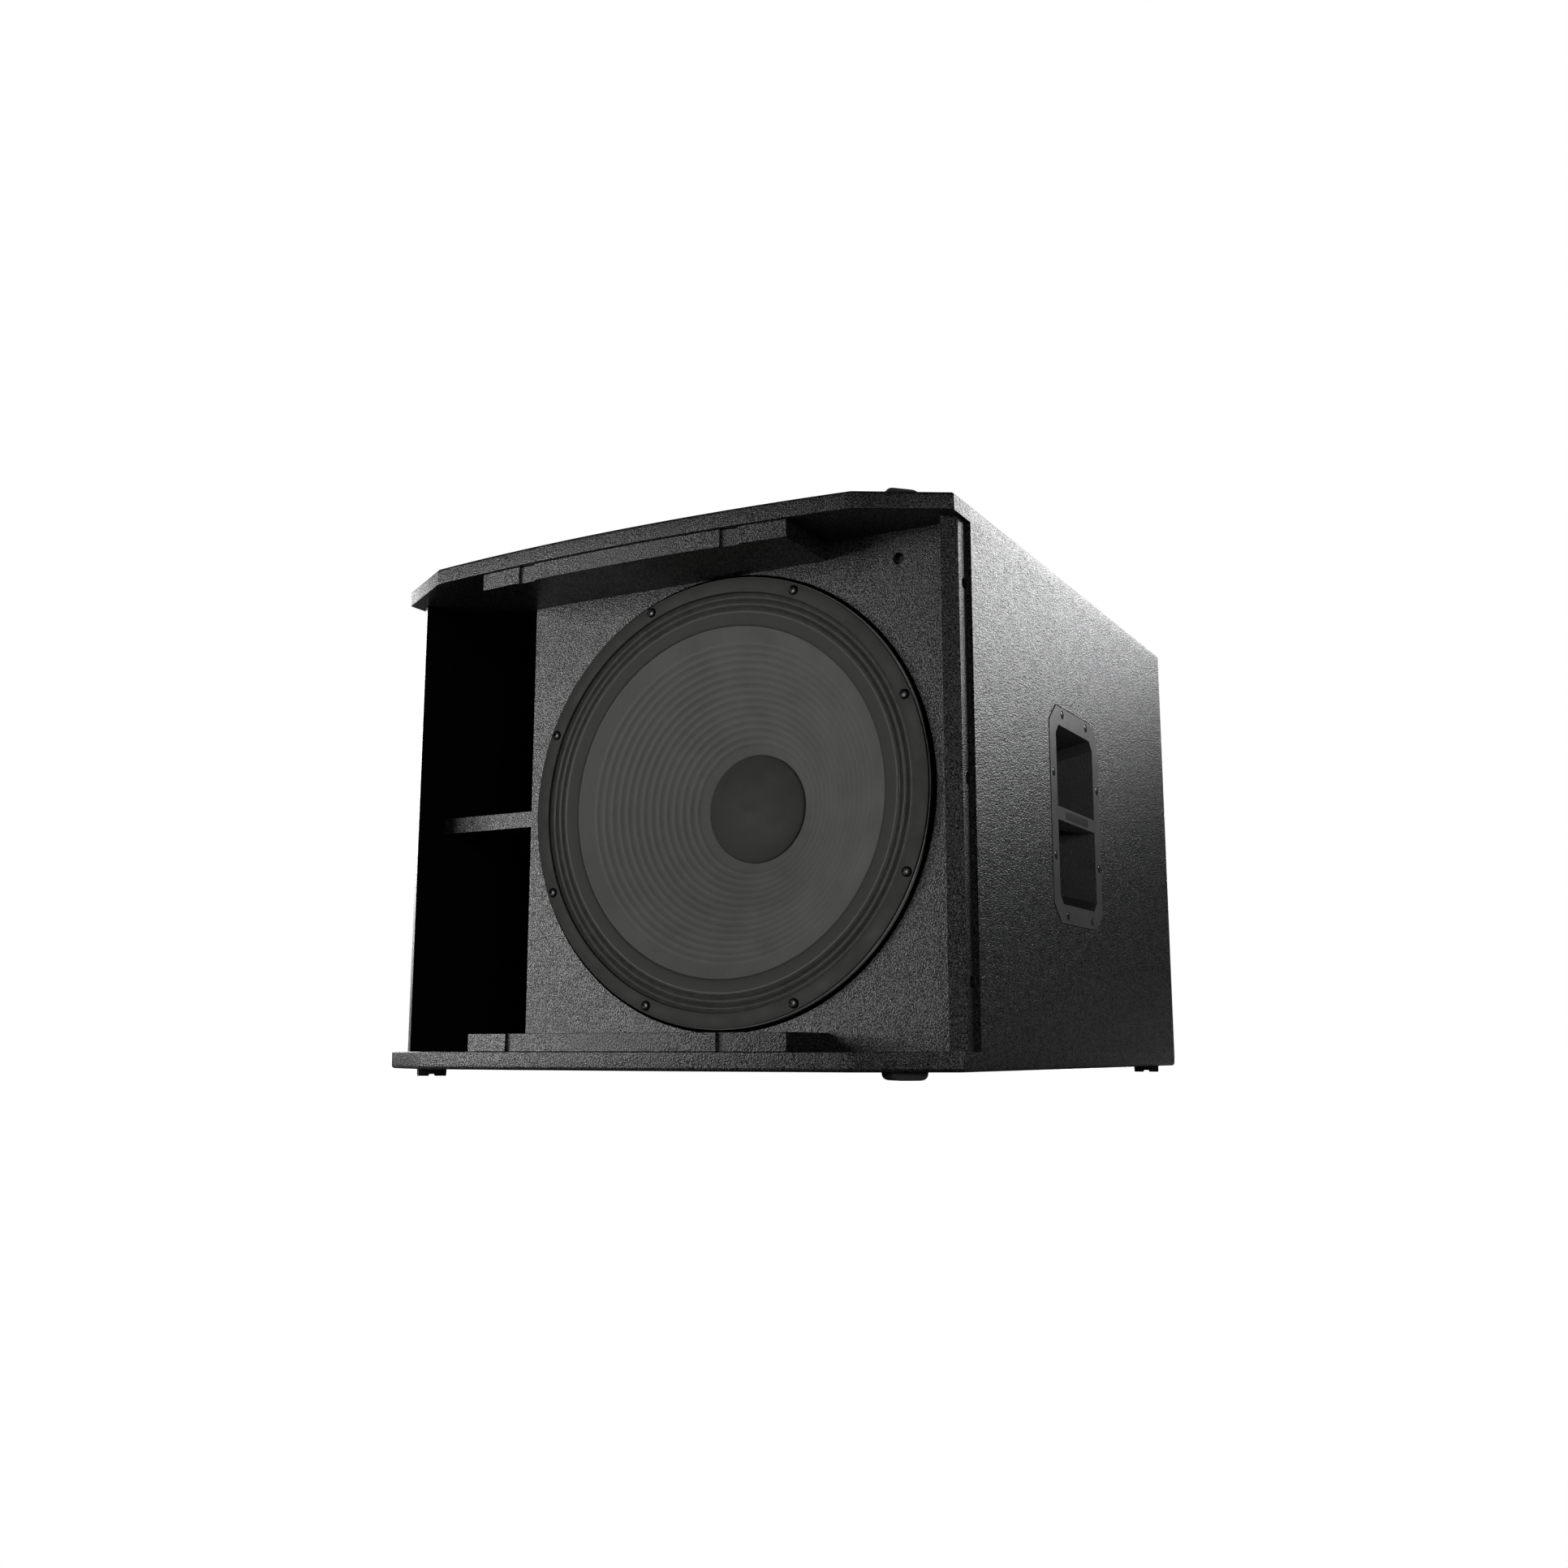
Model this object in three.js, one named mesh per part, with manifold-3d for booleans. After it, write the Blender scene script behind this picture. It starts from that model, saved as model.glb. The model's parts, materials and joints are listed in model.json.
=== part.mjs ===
// Powered bass-reflex PA cabinet with one 18-inch driver, a slot port and its front grille removed.
// Millimetres, +Z up, the front faces -Y and +X is the right-hand side seen from the front.
// The origin is on the floor, under the middle of the cabinet.
import * as THREE from 'three';
import { mergeVertices } from 'three/addons/utils/BufferGeometryUtils.js';
import Module from 'manifold-3d';

const wasm = await Module();
wasm.setup();

// ---------------------------------------------------------------- driving dimensions

const GAP = 0.3; // clearance between turned or cut neighbours

// Cabinet shell
const WIDTH = 672;
const DEPTH = 776;
const BOX_HEIGHT = 540;
const PLY = 18;
const FOOT_HEIGHT = 7.5;
const EDGE_RADIUS = 4;
const REAR_CORNER_RADIUS = 6;
const CHAMFER_START = 65; // from the front of the bow back to where the sides begin
const CHAMFER_HALF_WIDTH = 252; // half width of the bowed front edge
const BOW_RISE = 15;

const HALF = WIDTH / 2;
const INNER = HALF - PLY;
const FRONT = -DEPTH / 2;
const REAR = DEPTH / 2;
const SIDE_START = FRONT + CHAMFER_START;
const BOX_BOTTOM = FOOT_HEIGHT;
const BOX_TOP = FOOT_HEIGHT + BOX_HEIGHT;
const ROOM_BOTTOM = BOX_BOTTOM + PLY;
const ROOM_TOP = BOX_TOP - PLY;
const MID_HEIGHT = (BOX_BOTTOM + BOX_TOP) / 2;
const BOW_RADIUS = (CHAMFER_HALF_WIDTH ** 2 + BOW_RISE ** 2) / (2 * BOW_RISE);
const BOW_CENTRE_Y = FRONT + BOW_RADIUS;

// Front edge of the side panels, where the grille seats
const SEAT_STEP = 4.5;
const SEAT_END = SIDE_START + 41;
const SEAT_FRONT = SIDE_START + 20;
const TONGUE_FRONT = SIDE_START + 8.5;
const GRILLE_HOLE_RADIUS = 5.75;
const GRILLE_HOLE_Y = SIDE_START + 33;
const GRILLE_HOLE_PITCH = 189;
const GRILLE_HOLE_DEPTH = 9;

// Baffle, port and braces
const BAFFLE_FRONT = SIDE_START + 31;
const BAFFLE_BACK = BAFFLE_FRONT + PLY;
const PORT_RIGHT = -178;
const PORT_DEPTH_END = SIDE_START + 560;
const PORT_BRACE_FRONT = SIDE_START + 51;
const PORT_BRACE_END = SIDE_START + 240;
const WINDOW_BRACE_FRONT = SIDE_START + 440;
const BACK_PANEL_FRONT = SIDE_START + 673;
const BACK_PANEL_BACK = BACK_PANEL_FRONT + PLY;
const FOAM_THICKNESS = 20;
const INDICATOR = { x: 264, z: BOX_BOTTOM + 494, radius: 6, depth: 6 };

// Grille battens along the front edges of the top and bottom panels
const BATTEN_HALF_LENGTH = 185;
const BATTEN_SETBACK = 3.5;
const BATTEN_NOTCH_X = 123.5;
const BATTEN_NOTCH_WIDTH = 20;
const BATTEN_NOTCH_DEPTH = 3;

// Driver: radii from its axis, depths back from the front of the baffle
const DRIVER_X = 66;
const DRIVER_Z = MID_HEIGHT;
const CUTOUT_RADIUS = 218;
const FLANGE_RADIUS = 231;
const FLANGE_INNER_RADIUS = 215;
const FLANGE_THICKNESS = 5.5;
const GASKET_OUTER_RADIUS = 229.5;
const GASKET_INNER_RADIUS = 214.5;
const GASKET_FRONT = -8;
const SCREW_CIRCLE_RADIUS = 223;
const SCREW_COUNT = 8;
const SCREW = { headRadius: 5.2, headHeight: 3, shankRadius: 2.5, shankLength: 21 };
const SURROUND_INNER_RADIUS = 180.5;
const ROLL_INNER_RADIUS = 194;
const CONE_EDGE_RADIUS = 193;
const CONE_DEPTH = 70;
const CONE_THICKNESS = 1.5;
const LIP_THICKNESS = 1.2;
const CAP_RADIUS = 57.3;
const CAP_RISE = 14;
const COIL_RADIUS = 50.5;
const SPIDER_DEPTH = 98;
const MOTOR_DEPTH = 116;
const BASKET_RIBS = 12;

// Bar handles set into both sides
const HANDLE_Y = SIDE_START + 337;
const HANDLE_FLANGE = { width: 164.7, height: 236, chamferX: 23, chamferY: 20 };
const HANDLE_MOUTH = { width: 125, height: 195, chamferX: 10, chamferY: 10 };
const HANDLE_FLOOR = { width: 100, height: 156, chamferX: 10, chamferY: 10 };
const HANDLE_FLANGE_THICKNESS = 3;
const HANDLE_PROUD = 0.5; // the flange sits in a rebate and stands this far out of it
const HANDLE_REBATE_GAP = 0.9;
const HANDLE_DEPTH = 72;
const HANDLE_WALL = 3;
const HANDLE_BAR = { height: 14.6, endDepth: 9, middleDepth: 30 };
const BADGE = { width: 77, height: 8.5, depth: 0.8 };
const HANDLE_SCREWS = [[-39, 110.5], [42, 110.5], [-39, -109.5], [43, -109.5],
  [-73, 42.5], [76, 42.5], [-73, -47.5], [76, -47.5]];

// Rubber skids below and matching pads above
const SKID = { length: 34.5, width: 29, flat: 17.5, grooveWidth: 7, grooveDepth: 2 };
const SKID_FRONT = { x: 278, y: SIDE_START - 0.5, turn: THREE.MathUtils.degToRad(45) };
const SKID_REAR = { x: 306, y: SIDE_START + 680, turn: THREE.MathUtils.degToRad(-72) };

// Pole socket in the top
const POLE = { flangeRadius: 48, flangeThickness: 3, tubeRadius: 19, boreRadius: 10, depth: 68 };

// Amplifier module in the back
const AMP = { width: 260, height: 340, thickness: 3, cutWidth: 232, cutHeight: 308 };
const AMP_FACE = BACK_PANEL_BACK + AMP.thickness;
const TRAY = { width: 224, height: 300, depth: 76, sheet: 2 };
const HEATSINK = { width: 240, low: 15, high: 160, base: 4, fin: 11, finThickness: 2.5, fins: 17 };
const SOCKET = { width: 26, height: 31, flange: 2, barrel: 11.8, mouth: 9.5, barrelDepth: 27, mouthDepth: 17 };
const LATCH = { width: 8, height: 4, rise: 12.4, proud: 2, depth: 9 };
const SOCKET_ROW_Z = MID_HEIGHT - 30;
const INPUT_X = [-95, -55];
const OUTPUT_X = [-15, 25];
const KNOB = { radius: 8.5, height: 12, shaft: 3, standOff: 1 };
const KNOB_X = 92;
const LEVEL_KNOB_Z = MID_HEIGHT - 30;
const CROSSOVER_KNOB_Z = MID_HEIGHT - 75;
const BUTTON = { x: 50, z: MID_HEIGHT - 75, size: 7, proud: 5, depth: 14 };
const INLET = { x: -80, z: MID_HEIGHT - 122, width: 48, height: 27, flange: 2.5, bodyWidth: 29,
  bodyHeight: 22, bodyDepth: 24, mouthWidth: 24, mouthHeight: 16.5, mouthDepth: 16 };
const SWITCH = { x: -15, z: MID_HEIGHT - 122, width: 21, height: 30, flange: 2.5, depth: 18,
  mouthWidth: 14, mouthHeight: 21.8, rockerWidth: 13, tilt: THREE.MathUtils.degToRad(10) };

// ---------------------------------------------------------------- materials

function material(color, roughness, metalness = 0) {
  return new THREE.MeshStandardMaterial({ color, roughness, metalness });
}

const MATERIALS = {
  paint: material(0x2c2d30, 0.85),
  bareply: material(0x6d5940, 0.9),
  rubber: material(0x1a1a1b, 0.95),
  plastic: material(0x141415, 0.5),
  cone: material(0x303133, 0.8),
  surround: material(0x161618, 0.75),
  gasket: material(0x33312f, 0.85),
  cast: material(0x2a2b2d, 0.45, 0.8),
  steel: material(0x55585c, 0.4, 0.9),
  ferrite: material(0x242426, 0.8, 0.2),
  aluminium: material(0x1d1e20, 0.5, 0.7),
  lens: material(0x0b0d10, 0.15),
  copper: material(0x8a4a24, 0.4, 0.8),
  board: material(0x1c4a2c, 0.6),
  foam: material(0x3a3b3d, 1),
};

// ---------------------------------------------------------------- solids

// Turns a closed three.js geometry into a manifold solid.
function solidOf(geometry) {
  const bare = geometry.clone();
  bare.deleteAttribute('normal');
  bare.deleteAttribute('uv');
  const merged = mergeVertices(bare);
  const index = merged.index.array;
  const triangles = [];
  for (let i = 0; i < index.length; i += 3) {
    const [a, b, c] = [index[i], index[i + 1], index[i + 2]];
    if (a !== b && b !== c && c !== a) triangles.push(a, b, c);
  }
  return new wasm.Manifold(new wasm.Mesh({
    numProp: 3,
    vertProperties: new Float32Array(merged.attributes.position.array),
    triVerts: new Uint32Array(triangles),
  }));
}

function geometryOf(solid) {
  const { vertProperties, triVerts } = solid.getMesh();
  const geometry = new THREE.BufferGeometry();
  geometry.setAttribute('position', new THREE.BufferAttribute(vertProperties, 3));
  geometry.setIndex(new THREE.BufferAttribute(triVerts, 1));
  return geometry;
}

function cut(base, tools) {
  return geometryOf(tools.reduce((solid, tool) => solid.subtract(solidOf(tool)), solidOf(base)));
}

function join(pieces) {
  const [first, ...rest] = pieces.map(solidOf);
  return geometryOf(rest.reduce((solid, piece) => solid.add(piece), first));
}

function box([x0, x1], [y0, y1], [z0, z1]) {
  const geometry = new THREE.BoxGeometry(x1 - x0, y1 - y0, z1 - z0);
  return geometry.translate((x0 + x1) / 2, (y0 + y1) / 2, (z0 + z1) / 2);
}

function around(centre, size) {
  return [centre - size / 2, centre + size / 2];
}

// A shape drawn in the XY plane, extruded up from z0 to z1.
function prism(shape, z0, z1, curveSegments = 12) {
  const settings = { depth: z1 - z0, bevelEnabled: false, curveSegments };
  return new THREE.ExtrudeGeometry(shape, settings).translate(0, 0, z0);
}

// A shape drawn as seen from behind, x to the right and y up, extruded along +Y from y0 to y1.
function slabAlongY(shape, y0, y1) {
  return prism(shape, -y1, -y0).rotateX(Math.PI / 2);
}

// A rod along the Y axis.
function rodAlongY(radius, y0, y1, x, z, segments = 24) {
  const rod = new THREE.CylinderGeometry(radius, radius, y1 - y0, segments);
  return rod.translate(x, (y0 + y1) / 2, z);
}

// A closed profile of [radius, depth] pairs turned about the driver's axis.
function turned(profile, segments = 36) {
  const points = profile.map(([radius, depth]) => new THREE.Vector2(radius, BAFFLE_FRONT + depth));
  if (profile[0][0] > 0) points.push(points[0].clone());
  if (!THREE.ShapeUtils.isClockWise(points)) return latheAt(points, segments);
  return latheAt(points.reverse(), segments);
}

function latheAt(points, segments) {
  return new THREE.LatheGeometry(points, segments).translate(DRIVER_X, 0, DRIVER_Z);
}

function rectangle(width, height, radius = 0, segments = 4) {
  const shape = new THREE.Shape();
  const [x, y] = [width / 2 - radius, height / 2 - radius];
  const corners = [[x, y, 0], [-x, y, 1], [-x, -y, 2], [x, -y, 3]];
  corners.forEach(([cx, cy, quarter], i) => {
    for (let step = 0; step <= (radius > 0 ? segments : 0); step += 1) {
      const angle = (quarter + step / segments) * Math.PI / 2;
      const point = [cx + radius * Math.cos(angle), cy + radius * Math.sin(angle)];
      if (i === 0 && step === 0) shape.moveTo(...point);
      else shape.lineTo(...point);
    }
  });
  return shape;
}

// The corner points of a rectangle with its four corners cut off, anticlockwise.
function octagon({ width, height, chamferX, chamferY }, grow = 0) {
  const [x, y] = [width / 2 + grow, height / 2 + grow];
  const [cx, cy] = [x - chamferX, y - chamferY];
  return [[x, cy], [cx, y], [-cx, y], [-x, cy], [-x, -cy], [-cx, -y], [cx, -y], [x, -cy]];
}

// A solid between two convex outlines of equal length, one at each end of the X axis span.
function loftAlongX(low, xLow, high, xHigh) {
  const count = low.length;
  const positions = [];
  low.forEach(([y, z]) => positions.push(xLow, y, z));
  high.forEach(([y, z]) => positions.push(xHigh, y, z));
  const index = [];
  for (let i = 0; i < count; i += 1) {
    const next = (i + 1) % count;
    index.push(i, next, count + i, next, count + next, count + i);
    if (i > 1) index.push(0, i, i - 1, count, count + i - 1, count + i);
  }
  const geometry = new THREE.BufferGeometry();
  geometry.setAttribute('position', new THREE.Float32BufferAttribute(positions, 3));
  geometry.setIndex(index);
  return geometry;
}

// ---------------------------------------------------------------- the assembly

const cabinet = new THREE.Group();

function add(name, geometry, slot) {
  const mesh = new THREE.Mesh(geometry, MATERIALS[slot].clone());
  mesh.name = name;
  cabinet.add(mesh);
  return mesh;
}

// ---------------------------------------------------------------- cabinet shell

function bowAngle(x, radius) {
  return -Math.acos(x / radius);
}

// The outline of the top and bottom panels: square at the back, chamfered and bowed at the front.
function panelOutline() {
  const r = REAR_CORNER_RADIUS;
  const shape = new THREE.Shape();
  shape.moveTo(HALF, SIDE_START);
  shape.lineTo(HALF, REAR - r);
  shape.absarc(HALF - r, REAR - r, r, 0, Math.PI / 2);
  shape.lineTo(-HALF + r, REAR);
  shape.absarc(-HALF + r, REAR - r, r, Math.PI / 2, Math.PI);
  shape.lineTo(-HALF, SIDE_START);
  shape.lineTo(-CHAMFER_HALF_WIDTH, FRONT + BOW_RISE);
  const start = bowAngle(-CHAMFER_HALF_WIDTH, BOW_RADIUS);
  const end = bowAngle(CHAMFER_HALF_WIDTH, BOW_RADIUS);
  shape.absarc(0, BOW_CENTRE_Y, BOW_RADIUS, start, end);
  shape.closePath();
  return shape;
}

// A panel whose edge is rounded on its upper side only; the part below z = 0 is cut away.
function roundedPanel() {
  const geometry = new THREE.ExtrudeGeometry(panelOutline(), {
    depth: PLY - EDGE_RADIUS,
    bevelThickness: EDGE_RADIUS,
    bevelSize: EDGE_RADIUS,
    bevelOffset: -EDGE_RADIUS,
    bevelSegments: 2,
    curveSegments: 8,
  });
  return cut(geometry, [box([-WIDTH, WIDTH], [-DEPTH, DEPTH], [-PLY, 0])]);
}

function poleHole() {
  const radius = POLE.tubeRadius + GAP;
  return new THREE.CylinderGeometry(radius, radius, 3 * PLY, 32).rotateX(Math.PI / 2);
}

function buildTopAndBottom() {
  const top = cut(roundedPanel(), [poleHole()]);
  add('top_panel', top.translate(0, 0, ROOM_TOP), 'paint');
  const bottom = roundedPanel().rotateY(Math.PI);
  add('bottom_panel', bottom.translate(0, 0, ROOM_BOTTOM), 'paint');
}

// Plan section of the right side panel, with the stepped seat for the grille at its front.
function sideSection() {
  const r = REAR_CORNER_RADIUS;
  const shape = new THREE.Shape();
  shape.moveTo(HALF, SEAT_END);
  shape.lineTo(HALF, REAR - r);
  shape.absarc(HALF - r, REAR - r, r, 0, Math.PI / 2);
  shape.lineTo(INNER, REAR);
  shape.lineTo(INNER, TONGUE_FRONT);
  shape.lineTo(HALF - SEAT_STEP, SEAT_FRONT);
  shape.lineTo(HALF - SEAT_STEP, SEAT_END);
  shape.closePath();
  return shape;
}

function grilleHole(step) {
  const x = HALF - SEAT_STEP;
  const hole = new THREE.CylinderGeometry(GRILLE_HOLE_RADIUS, GRILLE_HOLE_RADIUS, 2 * GRILLE_HOLE_DEPTH, 20);
  return hole.rotateZ(Math.PI / 2).translate(x, GRILLE_HOLE_Y, MID_HEIGHT + step * GRILLE_HOLE_PITCH);
}

// The opening for the handle's cup and the rebate for its flange.
function handleCutouts() {
  const opening = octagon(HANDLE_MOUTH, HANDLE_WALL + 2 * GAP);
  const rebate = octagon(HANDLE_FLANGE, HANDLE_REBATE_GAP);
  const floor = HALF + HANDLE_PROUD - HANDLE_FLANGE_THICKNESS - GAP;
  const cutters = [
    loftAlongX(opening, INNER - PLY, opening, HALF + PLY),
    loftAlongX(rebate, floor, rebate, HALF + PLY),
  ];
  return cutters.map((cutter) => cutter.translate(0, HANDLE_Y, MID_HEIGHT));
}

function buildSides() {
  const tools = [...handleCutouts(), ...[-1, 0, 1].map(grilleHole)];
  const right = cut(prism(sideSection(), ROOM_BOTTOM, ROOM_TOP), tools);
  add('right_side_panel', right, 'paint');
  const left = geometryOf(solidOf(right).mirror([1, 0, 0]));
  add('left_side_panel', left, 'paint');
}

function buildBackPanel() {
  const panel = box([-INNER, INNER], [BACK_PANEL_FRONT, BACK_PANEL_BACK], [ROOM_BOTTOM, ROOM_TOP]);
  const hole = box(around(0, AMP.cutWidth), [BACK_PANEL_FRONT - 1, BACK_PANEL_BACK + 1],
    around(MID_HEIGHT, AMP.cutHeight));
  add('back_panel', cut(panel, [hole]), 'paint');
}

// ---------------------------------------------------------------- baffle, port and braces

function screwPlace(i) {
  const angle = (i + 0.5) * 2 * Math.PI / SCREW_COUNT;
  return {
    x: DRIVER_X + SCREW_CIRCLE_RADIUS * Math.cos(angle),
    z: DRIVER_Z + SCREW_CIRCLE_RADIUS * Math.sin(angle),
  };
}

function screwHoles(y0, y1, radius) {
  return Array.from({ length: SCREW_COUNT }, (_, i) => {
    const { x, z } = screwPlace(i);
    return rodAlongY(radius, y0, y1, x, z, 8);
  });
}

function buildBaffle() {
  const [y0, y1] = [BAFFLE_FRONT - 1, BAFFLE_BACK + 1];
  const board = box([PORT_RIGHT, INNER], [BAFFLE_FRONT, BAFFLE_BACK], [ROOM_BOTTOM, ROOM_TOP]);
  const tools = [
    rodAlongY(CUTOUT_RADIUS, y0, y1, DRIVER_X, DRIVER_Z, 64),
    rodAlongY(INDICATOR.radius, y0, y1, INDICATOR.x, INDICATOR.z),
    ...screwHoles(y0, y1, SCREW.shankRadius + GAP),
  ];
  add('baffle', cut(board, tools), 'paint');
}

function buildIndicator() {
  const y0 = BAFFLE_FRONT + INDICATOR.depth;
  const lens = rodAlongY(INDICATOR.radius - GAP, y0, BAFFLE_BACK, INDICATOR.x, INDICATOR.z);
  add('indicator_lens', lens, 'lens');
}

function buildPort() {
  const divider = box([PORT_RIGHT, PORT_RIGHT + PLY], [BAFFLE_BACK, PORT_DEPTH_END], [ROOM_BOTTOM, ROOM_TOP]);
  add('port_divider', divider, 'paint');
  const brace = box([-INNER, PORT_RIGHT], [PORT_BRACE_FRONT, PORT_BRACE_END], around(MID_HEIGHT + 1.5, PLY));
  add('port_brace', brace, 'paint');
}

// A cross wall behind the driver with four windows, tying the shell together.
function buildWindowBrace() {
  const [x0, x1] = [PORT_RIGHT + PLY, INNER];
  const [y0, y1] = [WINDOW_BRACE_FRONT, WINDOW_BRACE_FRONT + PLY];
  const window = { width: 180, height: 190, radius: 25, spacingX: 225, spacingZ: 238 };
  const wall = box([x0, x1], [y0, y1], [ROOM_BOTTOM, ROOM_TOP]);
  const tools = [];
  for (const side of [-0.5, 0.5]) {
    for (const level of [-0.5, 0.5]) {
      const hole = slabAlongY(rectangle(window.width, window.height, window.radius), y0 - 1, y1 + 1);
      const x = (x0 + x1) / 2 + side * window.spacingX;
      tools.push(hole.translate(x, 0, MID_HEIGHT + level * window.spacingZ));
    }
  }
  add('window_brace', cut(wall, tools), 'bareply');
}

function buildFoam() {
  const foam = box([PORT_RIGHT + PLY + 5, INNER - 5], [SIDE_START + 125, WINDOW_BRACE_FRONT - 5],
    [ROOM_BOTTOM, ROOM_BOTTOM + FOAM_THICKNESS]);
  add('damping_foam', foam, 'foam');
}

// Plan outline of a grille batten: its front follows the bow and has two shallow notches.
function battenOutline() {
  const radius = BOW_RADIUS - BATTEN_SETBACK;
  const frontAt = (x) => BOW_CENTRE_Y - Math.sqrt(radius ** 2 - x ** 2);
  const shape = new THREE.Shape();
  shape.moveTo(BATTEN_HALF_LENGTH, BAFFLE_FRONT);
  shape.lineTo(-BATTEN_HALF_LENGTH, BAFFLE_FRONT);
  let x = -BATTEN_HALF_LENGTH;
  for (const centre of [-BATTEN_NOTCH_X, BATTEN_NOTCH_X]) {
    const [start, end] = around(centre, BATTEN_NOTCH_WIDTH);
    shape.absarc(0, BOW_CENTRE_Y, radius, bowAngle(x, radius), bowAngle(start, radius));
    shape.lineTo(start, frontAt(start) + BATTEN_NOTCH_DEPTH);
    shape.lineTo(end, frontAt(end) + BATTEN_NOTCH_DEPTH);
    x = end;
  }
  shape.absarc(0, BOW_CENTRE_Y, radius, bowAngle(x, radius), bowAngle(BATTEN_HALF_LENGTH, radius));
  shape.closePath();
  return shape;
}

function buildBattens() {
  add('top_grille_batten', prism(battenOutline(), ROOM_TOP - PLY, ROOM_TOP, 8), 'paint');
  add('bottom_grille_batten', prism(battenOutline(), ROOM_BOTTOM, ROOM_BOTTOM + PLY, 8), 'paint');
}

// ---------------------------------------------------------------- driver, fixed parts

// A window cutter for the basket, wider at the front than at the back.
function basketWindow(i) {
  const shape = new THREE.Shape();
  shape.moveTo(-38, 22);
  shape.lineTo(38, 22);
  shape.lineTo(19, 90);
  shape.lineTo(-19, 90);
  shape.closePath();
  const wedge = prism(shape, 100, FLANGE_RADIUS + 20);
  wedge.rotateY(2 * Math.PI * i / BASKET_RIBS);
  return wedge.translate(DRIVER_X, BAFFLE_FRONT, DRIVER_Z);
}

function buildBasket() {
  const wall = turned([
    [FLANGE_INNER_RADIUS, -FLANGE_THICKNESS],
    [FLANGE_RADIUS, -FLANGE_THICKNESS],
    [FLANGE_RADIUS, -GAP],
    [CUTOUT_RADIUS - 2 * GAP, -GAP],
    [CUTOUT_RADIUS - 2 * GAP, 12],
    [124, 105],
    [124, MOTOR_DEPTH],
    [57, MOTOR_DEPTH],
    [57, MOTOR_DEPTH - 5],
    [112, MOTOR_DEPTH - 5],
    [112, 100],
    [118, 100],
    [FLANGE_INNER_RADIUS, 8],
  ]);
  const windows = Array.from({ length: BASKET_RIBS }, (_, i) => basketWindow(i));
  const holes = screwHoles(BAFFLE_FRONT - 10, BAFFLE_FRONT + 1, SCREW.shankRadius + GAP);
  add('woofer_basket', cut(wall, [...windows, ...holes]), 'cast');
}

function buildGasket() {
  const ring = turned([
    [GASKET_INNER_RADIUS, GASKET_FRONT],
    [GASKET_OUTER_RADIUS, GASKET_FRONT],
    [GASKET_OUTER_RADIUS, -FLANGE_THICKNESS - GAP],
    [GASKET_INNER_RADIUS, -FLANGE_THICKNESS - GAP],
  ]);
  const holes = screwHoles(BAFFLE_FRONT - 10, BAFFLE_FRONT, SCREW.shankRadius + GAP);
  add('woofer_gasket', cut(ring, holes), 'gasket');
}

// Pan-head screw that clamps the flange to the baffle.
function screwGeometry() {
  const r = SCREW.headRadius;
  const profile = [[0, 0], [r, 0], [r, 1.4], [0.7 * r, SCREW.headHeight], [0, SCREW.headHeight]];
  const points = profile.map(([x, y]) => new THREE.Vector2(x, y));
  const head = new THREE.LatheGeometry(points, 12).rotateX(Math.PI);
  return join([head, rodAlongY(SCREW.shankRadius, -1, SCREW.shankLength, 0, 0, 8)]);
}

function buildScrews() {
  for (let i = 0; i < SCREW_COUNT; i += 1) {
    const { x, z } = screwPlace(i);
    const screw = add(`woofer_screw_${i + 1}`, screwGeometry(), 'steel');
    screw.position.set(x, BAFFLE_FRONT + GASKET_FRONT - GAP, z);
  }
}

// Top plate, ring magnet, and back plate with its vented pole.
function buildMotor() {
  const plate = { front: MOTOR_DEPTH + GAP, back: MOTOR_DEPTH + 10 };
  const magnet = { front: plate.back + GAP, back: plate.back + 22 };
  const yoke = { front: magnet.back + GAP, back: magnet.back + 12 };
  const ring = (inner, outer, { front, back }) => turned(
    [[inner, front], [outer, front], [outer, back], [inner, back]], 28);
  add('magnet_top_plate', ring(53.2, 100, plate), 'steel');
  add('magnet_ring', ring(62, 108, magnet), 'ferrite');
  const pole = COIL_RADIUS - 1.9;
  add('magnet_back_plate', turned([[14, MOTOR_DEPTH + 2], [pole, MOTOR_DEPTH + 2], [pole, yoke.front],
    [104, yoke.front], [104, yoke.back], [14, yoke.back]], 28), 'steel');
}

// ---------------------------------------------------------------- driver, moving parts

// Depth of the cone's front face at a radius: straight from its neck to its edge.
function coneDepth(radius) {
  return CONE_DEPTH * (SURROUND_INNER_RADIUS - radius) / (SURROUND_INNER_RADIUS - CAP_RADIUS);
}

function buildCone() {
  const neck = COIL_RADIUS + GAP;
  const lip = CONE_EDGE_RADIUS;
  add('woofer_cone', turned([
    [neck, CONE_DEPTH + 3.5],
    [CAP_RADIUS + 0.5, coneDepth(CAP_RADIUS + 0.5)],
    [SURROUND_INNER_RADIUS, 0],
    [lip, -1],
    [lip, -1 + CONE_THICKNESS],
    [SURROUND_INNER_RADIUS, CONE_THICKNESS],
    [CAP_RADIUS + 0.5, coneDepth(CAP_RADIUS + 0.5) + CONE_THICKNESS],
    [neck, CONE_DEPTH + 3.5 + CONE_THICKNESS],
  ]), 'cone');
}

function buildDustCap() {
  const sphere = (CAP_RADIUS ** 2 + CAP_RISE ** 2) / (2 * CAP_RISE);
  const apex = CONE_DEPTH - 2 - CAP_RISE;
  const steps = 4;
  const front = [];
  for (let i = 0; i <= steps; i += 1) {
    const radius = CAP_RADIUS * i / steps;
    front.push([radius, apex + sphere - Math.sqrt(sphere ** 2 - radius ** 2)]);
  }
  const back = front.map(([radius, depth]) => [radius, depth + LIP_THICKNESS]).reverse();
  add('woofer_dust_cap', turned([...front, ...back], 28), 'cone');
}

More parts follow.
